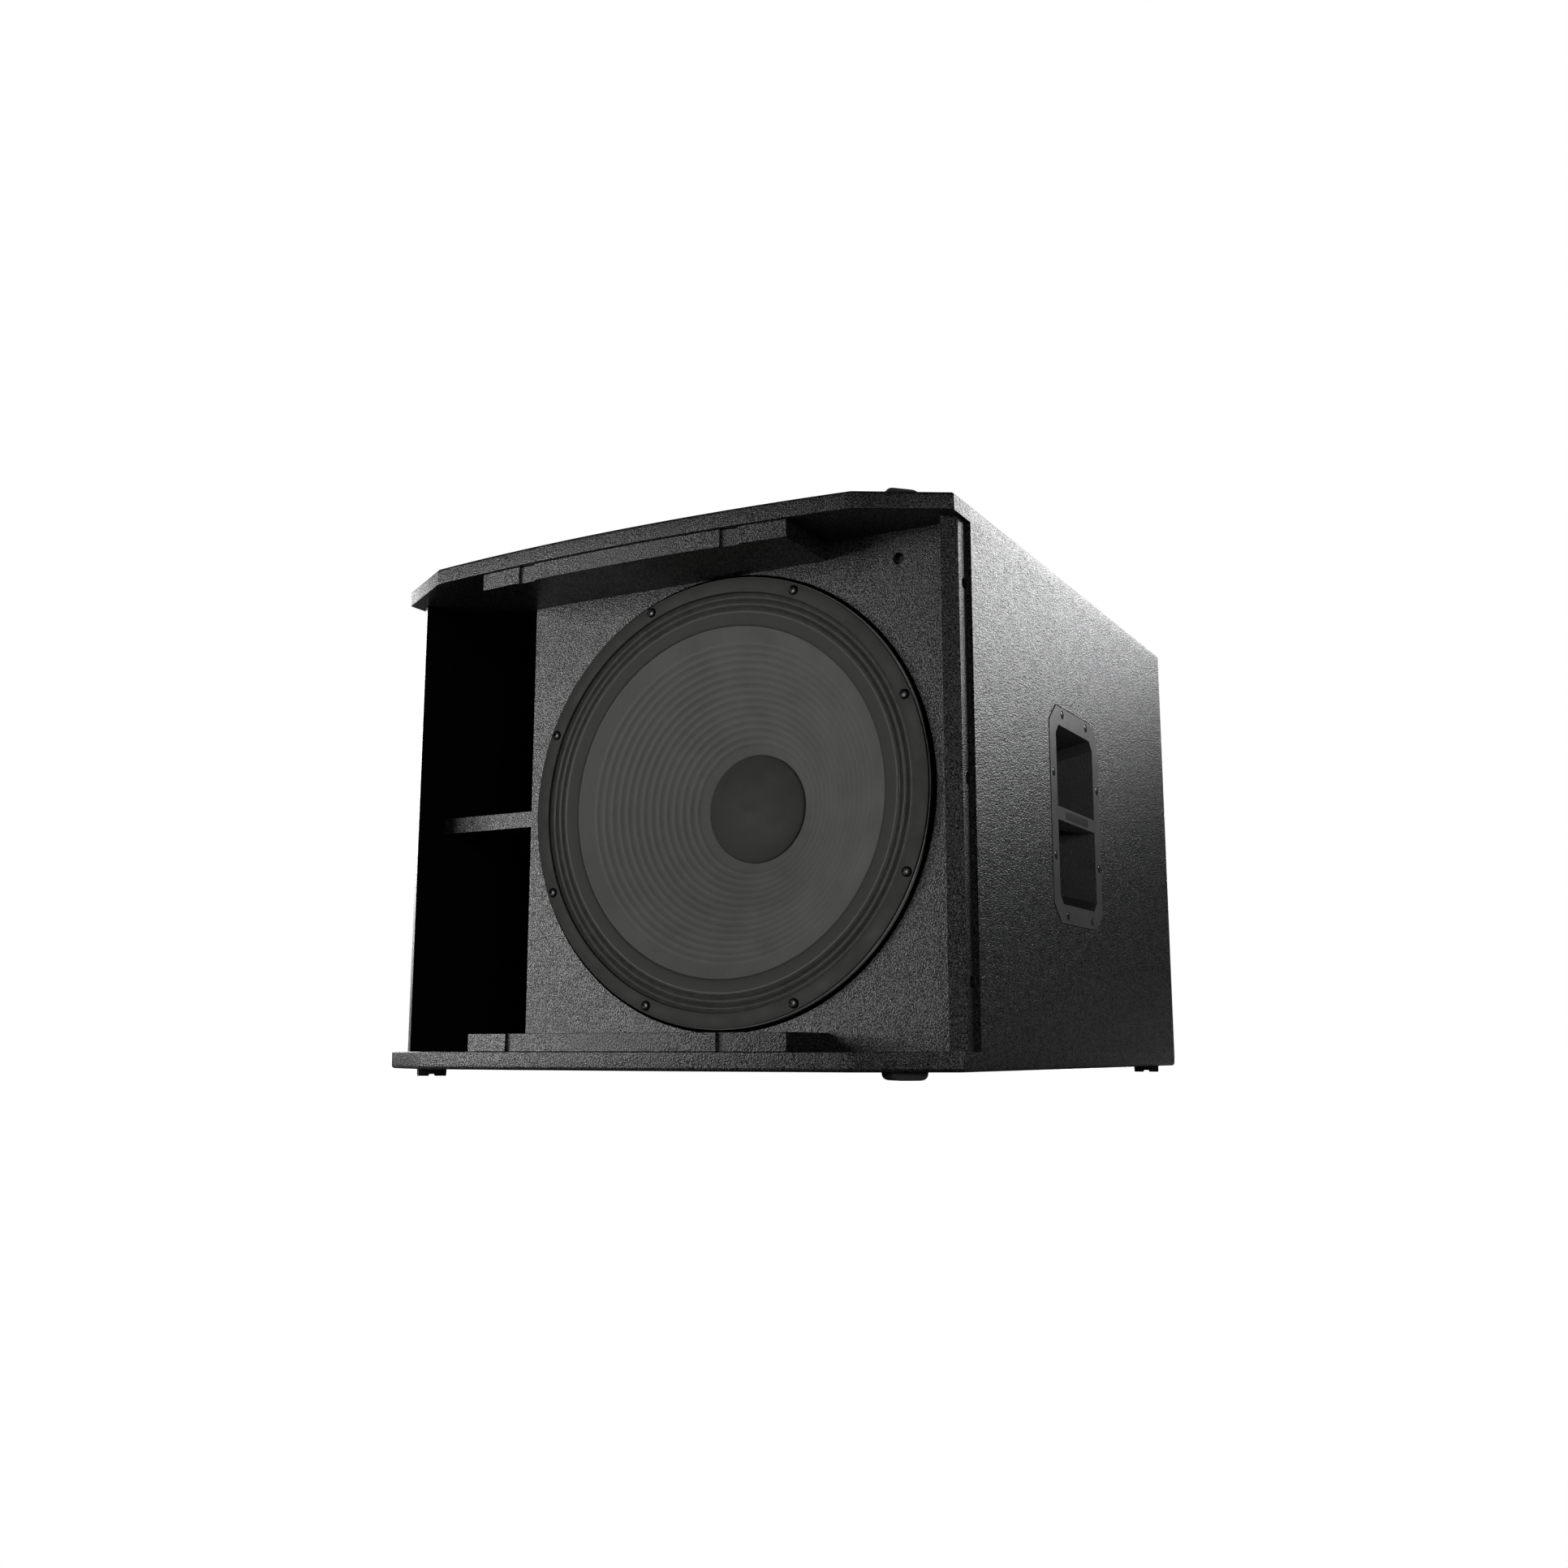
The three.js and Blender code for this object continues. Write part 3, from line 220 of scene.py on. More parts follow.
class Finish:
    """A node material: its tree, its Principled shader, and short ways to add nodes."""

    def __init__(self, name, **sockets):
        self.material = bpy.data.materials.new(name)
        self.material.use_nodes = True
        self.nodes = self.material.node_tree.nodes
        self.links = self.material.node_tree.links
        self.shader = self.nodes["Principled BSDF"]
        self.place = self.nodes.new("ShaderNodeTexCoord").outputs["Object"]
        for socket, value in sockets.items():
            self.shader.inputs[socket.replace("_", " ")].default_value = value

    def noise(self, scale, detail=2, roughness=0.5, stretch=None):
        node = self.nodes.new("ShaderNodeTexNoise")
        node.inputs["Scale"].default_value = scale
        node.inputs["Detail"].default_value = detail
        node.inputs["Roughness"].default_value = roughness
        self.links.new(self.stretched(stretch), node.inputs["Vector"])
        return node.outputs["Fac"]

    def cells(self, scale):
        node = self.nodes.new("ShaderNodeTexVoronoi")
        node.inputs["Scale"].default_value = scale
        self.links.new(self.place, node.inputs["Vector"])
        return node.outputs["Distance"]

    def weave(self, threads_per_metre, stretch):
        node = self.nodes.new("ShaderNodeTexWave")
        node.inputs["Scale"].default_value = threads_per_metre
        node.inputs["Distortion"].default_value = 0.6
        self.links.new(self.stretched(stretch), node.inputs["Vector"])
        return node.outputs["Fac"]

    def stretched(self, scale):
        if scale is None:
            return self.place
        node = self.nodes.new("ShaderNodeMapping")
        node.inputs["Scale"].default_value = scale
        self.links.new(self.place, node.inputs["Vector"])
        return node.outputs["Vector"]

    def blend(self, first, second, share=0.5):
        node = self.nodes.new("ShaderNodeMix")
        node.inputs["Factor"].default_value = share
        self.links.new(first, node.inputs["A"])
        self.links.new(second, node.inputs["B"])
        return node.outputs["Result"]

    def ramp(self, factor, *stops):
        """Colours or numbers along a factor; each stop is (position, value)."""
        node = self.nodes.new("ShaderNodeValToRGB")
        elements = node.color_ramp.elements
        while len(elements) < len(stops):
            elements.new(0.5)
        for element, (position, value) in zip(elements, stops):
            rgb = (value,) * 3 if isinstance(value, (int, float)) else value
            element.position = position
            element.color = (*rgb, 1)
        self.links.new(factor, node.inputs["Fac"])
        return node.outputs["Color"]

    def colour(self, source):
        self.links.new(source, self.shader.inputs["Base Color"])

    def gloss(self, source):
        self.links.new(source, self.shader.inputs["Roughness"])

    def sparkle(self, source):
        """Lets the strength of the reflections vary from grain to grain."""
        self.links.new(source, self.shader.inputs["Specular IOR Level"])

    def bump(self, height, distance):
        """Relief; the distance, in metres, is how far the lightest parts stand above the darkest."""
        node = self.nodes.new("ShaderNodeBump")
        node.inputs["Distance"].default_value = distance
        self.links.new(height, node.inputs["Height"])
        self.links.new(node.outputs["Normal"], self.shader.inputs["Normal"])


def texture_paint():
    """Black structured paint: close-set droplets with light tips."""
    finish = Finish("texture_paint")
    grain = finish.noise(820, 1, 0.6, (1, 0.4, 1))
    finish.colour(finish.ramp(grain, (0.36, 0.003), (0.5, 0.009), (0.66, 0.032)))
    finish.sparkle(finish.ramp(grain, (0.36, 0.1), (0.64, 0.75)))
    finish.gloss(finish.ramp(finish.noise(60, 2), (0.3, 0.33), (0.7, 0.39)))
    finish.bump(grain, 0.0006)
    return finish.material


def port_paint():
    """The same paint inside the port, darker and duller: painted shade for the depth of the port."""
    finish = Finish("port_paint", Specular_IOR_Level=0.1)
    grain = finish.noise(430, 3, 0.62)
    # painted shade: the colour is kept far darker than the paint outside the port
    finish.colour(finish.ramp(grain, (0.35, 0.0008), (0.7, 0.003)))
    finish.gloss(finish.ramp(finish.noise(80), (0.3, 0.85), (0.7, 0.95)))
    finish.bump(grain, 0.0012)
    return finish.material


def birch_plywood():
    finish = Finish("birch_plywood", Specular_IOR_Level=0.3)
    grain = finish.noise(30, 6, 0.6, (1, 1, 14))
    plies = finish.weave(110, (0, 1, 0))
    wood = finish.blend(grain, plies, 0.25)
    finish.colour(finish.ramp(wood, (0.3, (0.30, 0.19, 0.10)), (0.7, (0.55, 0.40, 0.25))))
    finish.gloss(finish.ramp(grain, (0.3, 0.55), (0.7, 0.75)))
    finish.bump(grain, 0.0005)
    return finish.material


def moulded(name, dark, light, grain_scale, relief, rough=(0.38, 0.5), specular=0.5):
    """Moulded plastic or rubber with a spark-eroded grain and faint flow marks; a shade may be a grey."""
    finish = Finish(name, Specular_IOR_Level=specular)
    grain = finish.cells(grain_scale)
    flow = finish.noise(18, 4, 0.6)
    finish.colour(finish.ramp(flow, (0.35, dark), (0.65, light)))
    finish.gloss(finish.ramp(finish.noise(45, 3), (0.3, rough[0]), (0.7, rough[1])))
    finish.bump(grain, relief)
    return finish.material


def coated_paper():
    """Pressed paper pulp under a matt coat: fibres and faint blotches."""
    finish = Finish("coated_paper", Specular_IOR_Level=0.35)
    fibres = finish.noise(900, 4, 0.7)
    blotches = finish.noise(22, 3, 0.6)
    mixed = finish.blend(fibres, blotches, 0.5)
    finish.colour(finish.ramp(mixed, (0.35, (0.080, 0.080, 0.0745)), (0.65, (0.112, 0.112, 0.105))))
    finish.gloss(finish.ramp(blotches, (0.3, 0.55), (0.7, 0.7)))
    finish.bump(fibres, 0.00012)
    return finish.material


def doped_cloth(name, dark, light, rough):
    """Woven cloth soaked in damping compound."""
    finish = Finish(name, Specular_IOR_Level=0.4)
    weave = finish.blend(finish.weave(420, (1, 0, 1)), finish.weave(420, (1, 0, -1)))
    compound = finish.noise(120, 3, 0.6)
    finish.colour(finish.ramp(compound, (0.3, dark), (0.7, light)))
    finish.gloss(finish.ramp(compound, (0.3, rough[0]), (0.7, rough[1])))
    finish.bump(weave, 0.00008)
    return finish.material


def gasket_board():
    finish = Finish("gasket_board", Specular_IOR_Level=0.3)
    fibres = finish.noise(700, 4, 0.7)
    finish.colour(finish.ramp(fibres, (0.3, (0.022, 0.022, 0.0205)), (0.7, (0.034, 0.034, 0.0315))))
    finish.gloss(finish.ramp(finish.noise(40), (0.3, 0.6), (0.7, 0.75)))
    finish.bump(fibres, 0.00012)
    return finish.material


def metal(name, colour, rough, brushed=None, metallic=1.0, relief=0.00004):
    """Metal with fine scratches; brushed stretches them along one direction."""
    finish = Finish(name, Metallic=metallic)
    scratches = finish.noise(300, 4, 0.6, brushed)
    shade = [tuple(channel * factor for channel in colour) for factor in (0.8, 1.15)]
    finish.colour(finish.ramp(finish.noise(35, 3), (0.3, shade[0]), (0.7, shade[1])))
    finish.gloss(finish.ramp(scratches, (0.3, rough[0]), (0.7, rough[1])))
    finish.bump(scratches, relief)
    return finish.material


def ferrite():
    finish = Finish("ferrite", Specular_IOR_Level=0.6)
    grit = finish.noise(600, 5, 0.7)
    finish.colour(finish.ramp(grit, (0.3, (0.018, 0.018, 0.020)), (0.7, (0.045, 0.045, 0.048))))
    finish.gloss(finish.ramp(grit, (0.3, 0.45), (0.7, 0.7)))
    finish.bump(grit, 0.0002)
    return finish.material


def smoked_lens():
    finish = Finish("smoked_lens", Coat_Weight=0.5)
    haze = finish.noise(150, 3)
    finish.colour(finish.ramp(haze, (0.3, (0.002, 0.002, 0.003)), (0.7, (0.006, 0.006, 0.008))))
    finish.gloss(finish.ramp(haze, (0.3, 0.12), (0.7, 0.25)))
    finish.bump(haze, 0.00003)
    return finish.material


def circuit_board():
    finish = Finish("circuit_board")
    tracks = finish.weave(90, (1, 0, 0.3))
    finish.colour(finish.ramp(tracks, (0.4, (0.010, 0.060, 0.022)), (0.6, (0.022, 0.110, 0.045))))
    finish.gloss(finish.ramp(tracks, (0.4, 0.35), (0.6, 0.5)))
    finish.bump(tracks, 0.0001)
    return finish.material


def copper_winding():
    finish = Finish("copper_winding", Metallic=1.0)
    turns = finish.weave(250, (0, 1, 0))
    finish.colour(finish.ramp(turns, (0.3, (0.22, 0.07, 0.03)), (0.7, (0.60, 0.26, 0.12))))
    finish.gloss(finish.ramp(turns, (0.3, 0.45), (0.7, 0.3)))
    finish.bump(turns, 0.0003)
    return finish.material


def wadding():
    finish = Finish("wadding", Sheen_Weight=0.5, Specular_IOR_Level=0.1)
    fibres = finish.noise(260, 6, 0.75, (1, 1, 3))
    finish.colour(finish.ramp(fibres, (0.3, (0.16, 0.16, 0.17)), (0.7, (0.42, 0.42, 0.44))))
    finish.gloss(finish.ramp(fibres, (0.3, 0.9), (0.7, 1.0)))
    finish.bump(fibres, 0.002)
    return finish.material


def print_white():
    """Screen-printed scale marks on the amplifier panel."""
    finish = Finish("print_white", Specular_IOR_Level=0.3)
    ink = finish.noise(400, 3)
    finish.colour(finish.ramp(ink, (0.3, 0.5), (0.7, 0.66)))
    finish.gloss(finish.ramp(ink, (0.3, 0.5), (0.7, 0.65)))
    return finish.material


def make_materials():
    return {
        "paint": texture_paint(),
        "port": port_paint(),
        "ply": birch_plywood(),
        # painted shadow: near-black with no reflection, for the ring round the flange
        "sealant": moulded("sealant", 0.0005, 0.001, 300, 0.0001, (0.9, 1.0), 0.0),
        # painted shade: the cup's plastic is much darker than the handle's own, with a coarser grain
        "cup": moulded("handle_cup_plastic", 0.030, 0.050, 650, 0.0006, (0.5, 0.6)),
        "rubber": moulded("rubber", 0.016, 0.026, 700, 0.0002, (0.5, 0.65)),
        "handle": moulded("handle_plastic", (0.085, 0.085, 0.086), (0.100, 0.100, 0.101), 1100,
                          0.00006, (0.34, 0.40), 1.0),
        "plastic": moulded("black_plastic", (0.010, 0.010, 0.011), (0.018, 0.018, 0.019), 1300,
                           0.00012),
        "plate": metal("blank_plate", (0.03, 0.03, 0.031), (0.35, 0.5), (1, 12, 1)),
        "cone": coated_paper(),
        "cap": moulded("cap_film", (0.022, 0.022, 0.0205), (0.028, 0.028, 0.026), 1500,
                       0.00005, (0.7, 0.8)),
        "surround": doped_cloth("surround_cloth", (0.036, 0.036, 0.033), (0.052, 0.052, 0.048),
                                (0.42, 0.55)),
        "lip": doped_cloth("surround_lip_cloth", (0.024, 0.024, 0.0225), (0.030, 0.030, 0.028),
                           (0.6, 0.7)),
        "spider": doped_cloth("spider_cloth", (0.28, 0.19, 0.08), (0.42, 0.30, 0.14), (0.7, 0.85)),
        "gasket": gasket_board(),
        "cast": metal("powder_coated_casting", (0.09, 0.09, 0.09), (0.35, 0.5), None, 0.6, 0.0001),
        "black_steel": metal("black_steel", (0.05, 0.05, 0.05), (0.3, 0.42)),
        "steel": metal("zinc_plated_steel", (0.55, 0.56, 0.57), (0.25, 0.45), (1, 1, 9)),
        "anodised": metal("black_anodised", (0.035, 0.035, 0.037), (0.4, 0.55), (9, 1, 1)),
        "ferrite": ferrite(),
        "lens": smoked_lens(),
        "board": circuit_board(),
        "copper": copper_winding(),
        "wadding": wadding(),
        "print": print_white(),
    }


# ------------------------ mesh helpers

def new_piece(name, vertices, faces, material):
    """A mesh object from vertices in millimetres, its faces turned outwards."""
    mesh = bpy.data.meshes.new(name)
    mesh.from_pydata([tuple(Vector(vertex) * MM) for vertex in vertices], [], faces)
    face_outwards(mesh)
    mesh.materials.append(material)
    piece = bpy.data.objects.new(name, mesh)
    bpy.context.scene.collection.objects.link(piece)
    return piece


def face_outwards(mesh):
    work = bmesh.new()
    work.from_mesh(mesh)
    bmesh.ops.recalc_face_normals(work, faces=work.faces)
    work.to_mesh(mesh)
    work.free()


def prism(outline, low, high, place=None):
    """Vertices and faces of a plane outline swept from low to high.

    place maps the outline's (u, v) and the sweep's w to (x, y, z).
    """
    place = place or (lambda u, v, w: (u, v, w))
    count = len(outline)
    vertices = [place(u, v, w) for w in (low, high) for u, v in outline]
    sides = [(i, (i + 1) % count, count + (i + 1) % count, count + i) for i in range(count)]
    return vertices, [tuple(range(count)), tuple(range(count, 2 * count)), *sides]


def rings(levels):
    """Vertices and faces of a stack of closed rings of equal length, capped at both ends."""
    count = len(levels[0])
    vertices = [point for level in levels for point in level]
    faces = [tuple(range(count)), tuple(range(len(vertices) - count, len(vertices)))]
    for level in range(len(levels) - 1):
        base = level * count
        for i in range(count):
            j = (i + 1) % count
            faces.append((base + i, base + j, base + count + j, base + count + i))
    return vertices, faces


def revolved(profile, segments, start=0.0, sweep=2 * math.pi):
    """Vertices and faces of a closed profile of (radius, depth) turned about the Y axis."""
    whole = abs(sweep - 2 * math.pi) < 1e-6
    columns = segments if whole else segments + 1
    vertices = []
    for column in range(columns):
        angle = start + sweep * column / segments
        vertices += [(r * math.cos(angle), depth, r * math.sin(angle)) for r, depth in profile]
    count = len(profile)
    faces = []
    for column in range(segments):
        here, there = column * count, (column + 1) % columns * count
        for i in range(count):
            j = (i + 1) % count
            faces.append((here + i, here + j, there + j, there + i))
    if not whole:
        faces += [tuple(range(count)), tuple(range((columns - 1) * count, columns * count))]
    return vertices, faces


def solid_of_revolution(profile, segments):
    """Like revolved, for a profile that starts and ends on the axis."""
    inner = profile[1:-1]
    vertices = [(0, profile[0][1], 0), (0, profile[-1][1], 0)]
    for column in range(segments):
        angle = 2 * math.pi * column / segments
        vertices += [(r * math.cos(angle), depth, r * math.sin(angle)) for r, depth in inner]
    count = len(inner)
    faces = []
    for column in range(segments):
        here, there = 2 + column * count, 2 + (column + 1) % segments * count
        faces.append((0, there, here))
        faces.append((1, here + count - 1, there + count - 1))
        for i in range(count - 1):
            faces.append((here + i, there + i, there + i + 1, here + i + 1))
    return vertices, faces


def moved(vertices, offset):
    return [tuple(Vector(vertex) + Vector(offset)) for vertex in vertices]


def smooth(piece, degrees=SHARP_DEGREES):
    piece.data.shade_smooth()
    piece.data.set_sharp_from_angle(angle=math.radians(degrees))


def bake_modifiers(piece):
    bpy.context.view_layer.update()
    evaluated = piece.evaluated_get(bpy.context.evaluated_depsgraph_get())
    mesh = bpy.data.meshes.new_from_object(evaluated)
    piece.modifiers.clear()
    piece.data = mesh


def carve(piece, cutters):
    """Cuts the cutters out of the piece, one after another, and removes them."""
    for cutter in cutters:
        modifier = piece.modifiers.new("carve", "BOOLEAN")
        modifier.operation = "DIFFERENCE"
        modifier.solver = "EXACT"
        modifier.object = cutter
    bake_modifiers(piece)
    for cutter in cutters:
        bpy.data.objects.remove(cutter)


def round_edges(piece, width, segments):
    """Rounds the sharp edges, with even shading beside them."""
    bevel = piece.modifiers.new("round_edges", "BEVEL")
    bevel.width = width * MM
    bevel.segments = segments
    bevel.limit_method = "ANGLE"
    bevel.angle_limit = math.radians(SHARP_DEGREES)
    bevel.harden_normals = True
    piece.data.shade_smooth()


def round_chosen_edges(piece, width, segments, chosen):
    """Rounds sharp edges for which chosen(first, second) holds; the ends are in millimetres."""
    work = bmesh.new()
    work.from_mesh(piece.data)
    weight = work.edges.layers.float.new("bevel_weight_edge")
    for edge in work.edges:
        sharp = edge.calc_face_angle(0) > math.radians(SHARP_DEGREES)
        first, second = (corner.co / MM for corner in edge.verts)
        rounded = sharp and chosen(first, second)
        edge[weight] = 1.0 if rounded else 0.0
        edge.smooth = rounded or not sharp
    work.to_mesh(piece.data)
    work.free()
    round_edges(piece, width, segments)
    piece.modifiers["round_edges"].limit_method = "WEIGHT"


def recoat(mesh, material):
    """Leaves the mesh with that material alone, and with the normals of its own faces."""
    mesh.materials.clear()
    mesh.materials.append(material)
    if "custom_normal" in mesh.attributes:
        mesh.attributes.remove(mesh.attributes["custom_normal"])


def copy_of_node(node, name, material):
    """An own mesh with the shape of a CAD node, its flat faces merged."""
    source = frame["nodes"][node]
    mesh = source.data.copy()
    recoat(mesh, material)
    work = bmesh.new()
    work.from_mesh(mesh)
    work.transform(source.matrix_world)
    bmesh.ops.remove_doubles(work, verts=work.verts, dist=WELD_DISTANCE)
    flat = math.radians(FLAT_DEGREES)
    bmesh.ops.dissolve_limit(work, angle_limit=flat, verts=work.verts, edges=work.edges)
    work.to_mesh(mesh)
    work.free()
    piece = bpy.data.objects.new(name, mesh)
    bpy.context.scene.collection.objects.link(piece)
    return piece


def refine_node(node, material, width, segments):
    """Gives a CAD node its material and, with a width, rounds its edges."""
    piece = frame["nodes"][node]
    recoat(piece.data, material)
    weld = piece.modifiers.new("weld", "WELD")
    weld.merge_threshold = WELD_DISTANCE
    flatten = piece.modifiers.new("flatten", "DECIMATE")
    flatten.decimate_type = "DISSOLVE"
    flatten.angle_limit = math.radians(FLAT_DEGREES)
    if width:
        round_edges(piece, width, segments)
    else:
        piece.data.shade_flat()


def refine_nodes():
    for nodes, material, width, segments in CARRIED:
        for node in nodes:
            refine_node(node, MATERIALS[material], width, segments)


def settle(piece, body, slot, *nodes):
    """Puts a finished piece on its body, in place of the CAD nodes that it stands for; the slot is not
    used.
    """
    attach(piece, body)
    if nodes:
        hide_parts(*nodes)


# ------------------------ cabinet shell

def front_curve(radius_offset=0.0):
    """Radius and centre y of the bowed front edge, set back by an offset."""
    front = corners("top_panel")[0].y
    radius = (CHAMFER_HALF_WIDTH ** 2 + BOW_RISE ** 2) / (2 * BOW_RISE)
    return radius - radius_offset, front + radius


def arc(cx, cy, radius, start, end, steps):
    angles = [start + (end - start) * i / steps for i in range(steps + 1)]
    return [(cx + radius * math.cos(a), cy + radius * math.sin(a)) for a in angles]


def panel_outline():
    low, high = corners("top_panel")
    half, rear, front = high.x, high.y, low.y
    radius, centre_y = front_curve()
    swing = math.asin(CHAMFER_HALF_WIDTH / radius)
    r = REAR_CORNER_RADIUS
    return [
        (half, front + CHAMFER_DEPTH),
        *arc(half - r, rear - r, r, 0, math.pi / 2, CORNER_STEPS),
        *arc(r - half, rear - r, r, math.pi / 2, math.pi, CORNER_STEPS),
        (-half, front + CHAMFER_DEPTH),
        *arc(0, centre_y, radius, -math.pi / 2 - swing, -math.pi / 2 + swing, BOW_STEPS),
    ]


def inset(outline, distance):
    """The outline moved inwards by a distance; it is convex and runs anticlockwise."""
    count = len(outline)
    points = []
    for i, point in enumerate(outline):
        here = Vector(point)
        back = (here - Vector(outline[i - 1])).normalized()
        ahead = (Vector(outline[(i + 1) % count]) - here).normalized()
        normals = [Vector((-edge.y, edge.x)) for edge in (back, ahead)]
        middle = (normals[0] + normals[1]).normalized()
        points.append(tuple(here + middle * (distance / middle.dot(normals[0]))))
    return points


def end_panel_profile(thickness):
    """Inset and rise of a panel's edge, from its inner side up round its outer edge."""
    r = PANEL_EDGE_RADIUS
    profile = [(0, 0), (0, thickness - r)]
    for step in range(1, CORNER_STEPS + 1):
        angle = math.pi / 2 * step / CORNER_STEPS
        profile.append((r * (1 - math.cos(angle)), thickness - r + r * math.sin(angle)))
    return profile


def build_end_panel(node, upwards):
    """Top or bottom panel: the outline with a rounded edge on its outer side."""
    low, high = corners(node)
    outline = panel_outline()
    levels = []
    for distance, rise in end_panel_profile(high.z - low.z):
        z = low.z + rise if upwards else high.z - rise
        levels.append([(x, y, z) for x, y in inset(outline, distance)])
    panel = new_piece(f"{node}_board", *rings(levels), MATERIALS["paint"])
    if upwards:
        carve(panel, [pole_cutter()])
    side_start = outline[0][1]

    def before_the_sides(first, second):
        return max(first.y, second.y) < side_start + TOUCH

    round_chosen_edges(panel, END_PANEL_ROUNDING, 3, before_the_sides)
    settle(panel, CABINET, "cabinet_paint", node)


def build_side_panel(side):
    """Side panel; its ends butt against the top and bottom flush, so they stay sharp."""
    node = f"{side}_side_panel"
    low, high = corners(node)
    panel = copy_of_node(node, f"{node}_board", MATERIALS["paint"])

    def clear_of_seams(first, second):
        on_low = max(first.z, second.z) < low.z + TOUCH
        on_high = min(first.z, second.z) > high.z - TOUCH
        return not on_low and not on_high

    round_chosen_edges(panel, BOARD_ROUNDING, 2, clear_of_seams)
    settle(panel, CABINET, "cabinet_paint", node)
    return panel


def pole_cutter():
    low, high = corners("top_panel")
    outline = arc(0, 0, POLE_HOLE["radius"], 0, 2 * math.pi, POLE_HOLE["sides"])[:-1]
    shape = prism(outline, low.z - CUT_BEYOND, high.z + CUT_BEYOND)
    return new_piece("cutter", *shape, MATERIALS["paint"])


def batten_outline():
    low, high = corners("top_grille_batten")
    radius, centre_y = front_curve(BATTEN_SETBACK)

    def front_at(x):
        return centre_y - math.sqrt(radius ** 2 - x ** 2)

    points = [(high.x, high.y), (low.x, high.y)]
    x = low.x
    stops = [edge for notch in BATTEN_NOTCHES
             for edge in (notch - BATTEN_NOTCH_WIDTH / 2, notch + BATTEN_NOTCH_WIDTH / 2)]
    for index, stop in enumerate([*stops, high.x]):
        in_notch = index % 2 == 1
        depth = BATTEN_NOTCH_DEPTH if in_notch else 0
        steps = 2 if in_notch else 12
        for i in range(steps + 1):
            here = x + (stop - x) * i / steps
            points.append((here, front_at(here) + depth))
        x = stop
    return points


def build_batten(node):
    low, high = corners(node)
    batten = new_piece(f"{node}_rail", *prism(batten_outline(), low.z, high.z), MATERIALS["paint"])
    round_edges(batten, BATTEN_ROUNDING, 2)
    settle(batten, CABINET, "cabinet_paint", node)


def shade_port_inside(left_side):
    """Paints the faces inside the slot port with the darker, duller coat, as painted shade."""
    port_wall = corners("port_divider")[1].x
    side_wall = corners("port_brace")[0].x
    mouth = corners("baffle")[0].y
    nodes = ("port_divider", "back_panel", "port_brace", "baffle")
    meshes = {node: frame["nodes"][node].data for node in nodes}
    meshes["left_side_panel"] = left_side
    for node, mesh in meshes.items():
        mesh.materials.append(MATERIALS["port"])
        for face in mesh.polygons:
            spot = face.center / MM
            inside = side_wall - 1 < spot.x < port_wall - 1 and spot.y > mouth + 0.5
            brace_front = node == "port_brace" and face.normal.y < -0.9
            back_outside = node == "back_panel" and face.normal.y > 0.1
            if inside and not brace_front and not back_outside:
                face.material_index = 1


def build_shell():
    build_end_panel("top_panel", True)
    build_end_panel("bottom_panel", False)
    left = build_side_panel("left")
    build_side_panel("right")
    for node in ("top_grille_batten", "bottom_grille_batten"):
        build_batten(node)
    shade_port_inside(left.data)


def wadding_point(low, size, u, v, on_top):
    """A point of the mat at the shares u and v of its length and width."""
    w = WADDING
    inwards = min(1.0, min(u, 1 - u, v, 1 - v) / w["rim_width"])
    crown = w["crown"] * (w["rim"] + (1 - w["rim"]) * inwards)
    ripple = w["ripple"] * noise.noise(Vector((u * w["ripples"][0], v * w["ripples"][1], w["seed"])))
    rise = size.z * (crown + ripple) if on_top else w["underside"]
    pull = (1 - inwards) * w["pull"]
    x = low.x + size.x * u + pull * (0.5 - u)
    y = low.y + size.y * v + pull * (0.5 - v)
    return x, y, low.z + min(rise, size.z)


def build_wadding():
    """A mat of loose fibre on the chamber floor, crowned and uneven."""
    low, high = corners("damping_foam")
    columns, rows = WADDING["columns"], WADDING["rows"]
    index = {}
    vertices = []
    for side in (0, 1):
        for row in range(rows + 1):
            for column in range(columns + 1):
                index[side, row, column] = len(vertices)
                vertices.append(wadding_point(low, high - low, column / columns, row / rows, side))
    around = ((0, 0), (0, 1), (1, 1), (1, 0))
    faces = [tuple(index[side, row + i, column + j] for i, j in around)
             for row in range(rows) for column in range(columns) for side in (0, 1)]
    rim = ([(0, c) for c in range(columns)] + [(r, columns) for r in range(rows)]
           + [(rows, c) for c in range(columns, 0, -1)] + [(r, 0) for r in range(rows, 0, -1)])
    for here, there in zip(rim, rim[1:] + rim[:1]):
        faces.append((index[(0, *here)], index[(0, *there)], index[(1, *there)], index[(1, *here)]))
    mat = new_piece("wadding_mat", vertices, faces, MATERIALS["wadding"])
    smooth(mat, 80)
    settle(mat, CABINET, "foam", "damping_foam")


# ------------------------ driver

def driver_place():
    middle = centre("woofer_basket")
    return Vector((middle.x, corners("baffle")[0].y, middle.z))


def driver_piece(name, profile, material, on_axis=False):
    shape = solid_of_revolution if on_axis else revolved
    vertices, faces = shape(profile, ROUND_SEGMENTS)
    return new_piece(name, moved(vertices, driver_place()), faces, material)


def rounded_corner(ring):
    """The outer front corner of a ring's section, from its front round to its rim."""
    outer, front, rounding, cut = (ring[key] for key in ("outer", "front", "rounding", "cut"))
    return [(outer - rounding, front), (outer - cut, front + cut), (outer, front + rounding)]


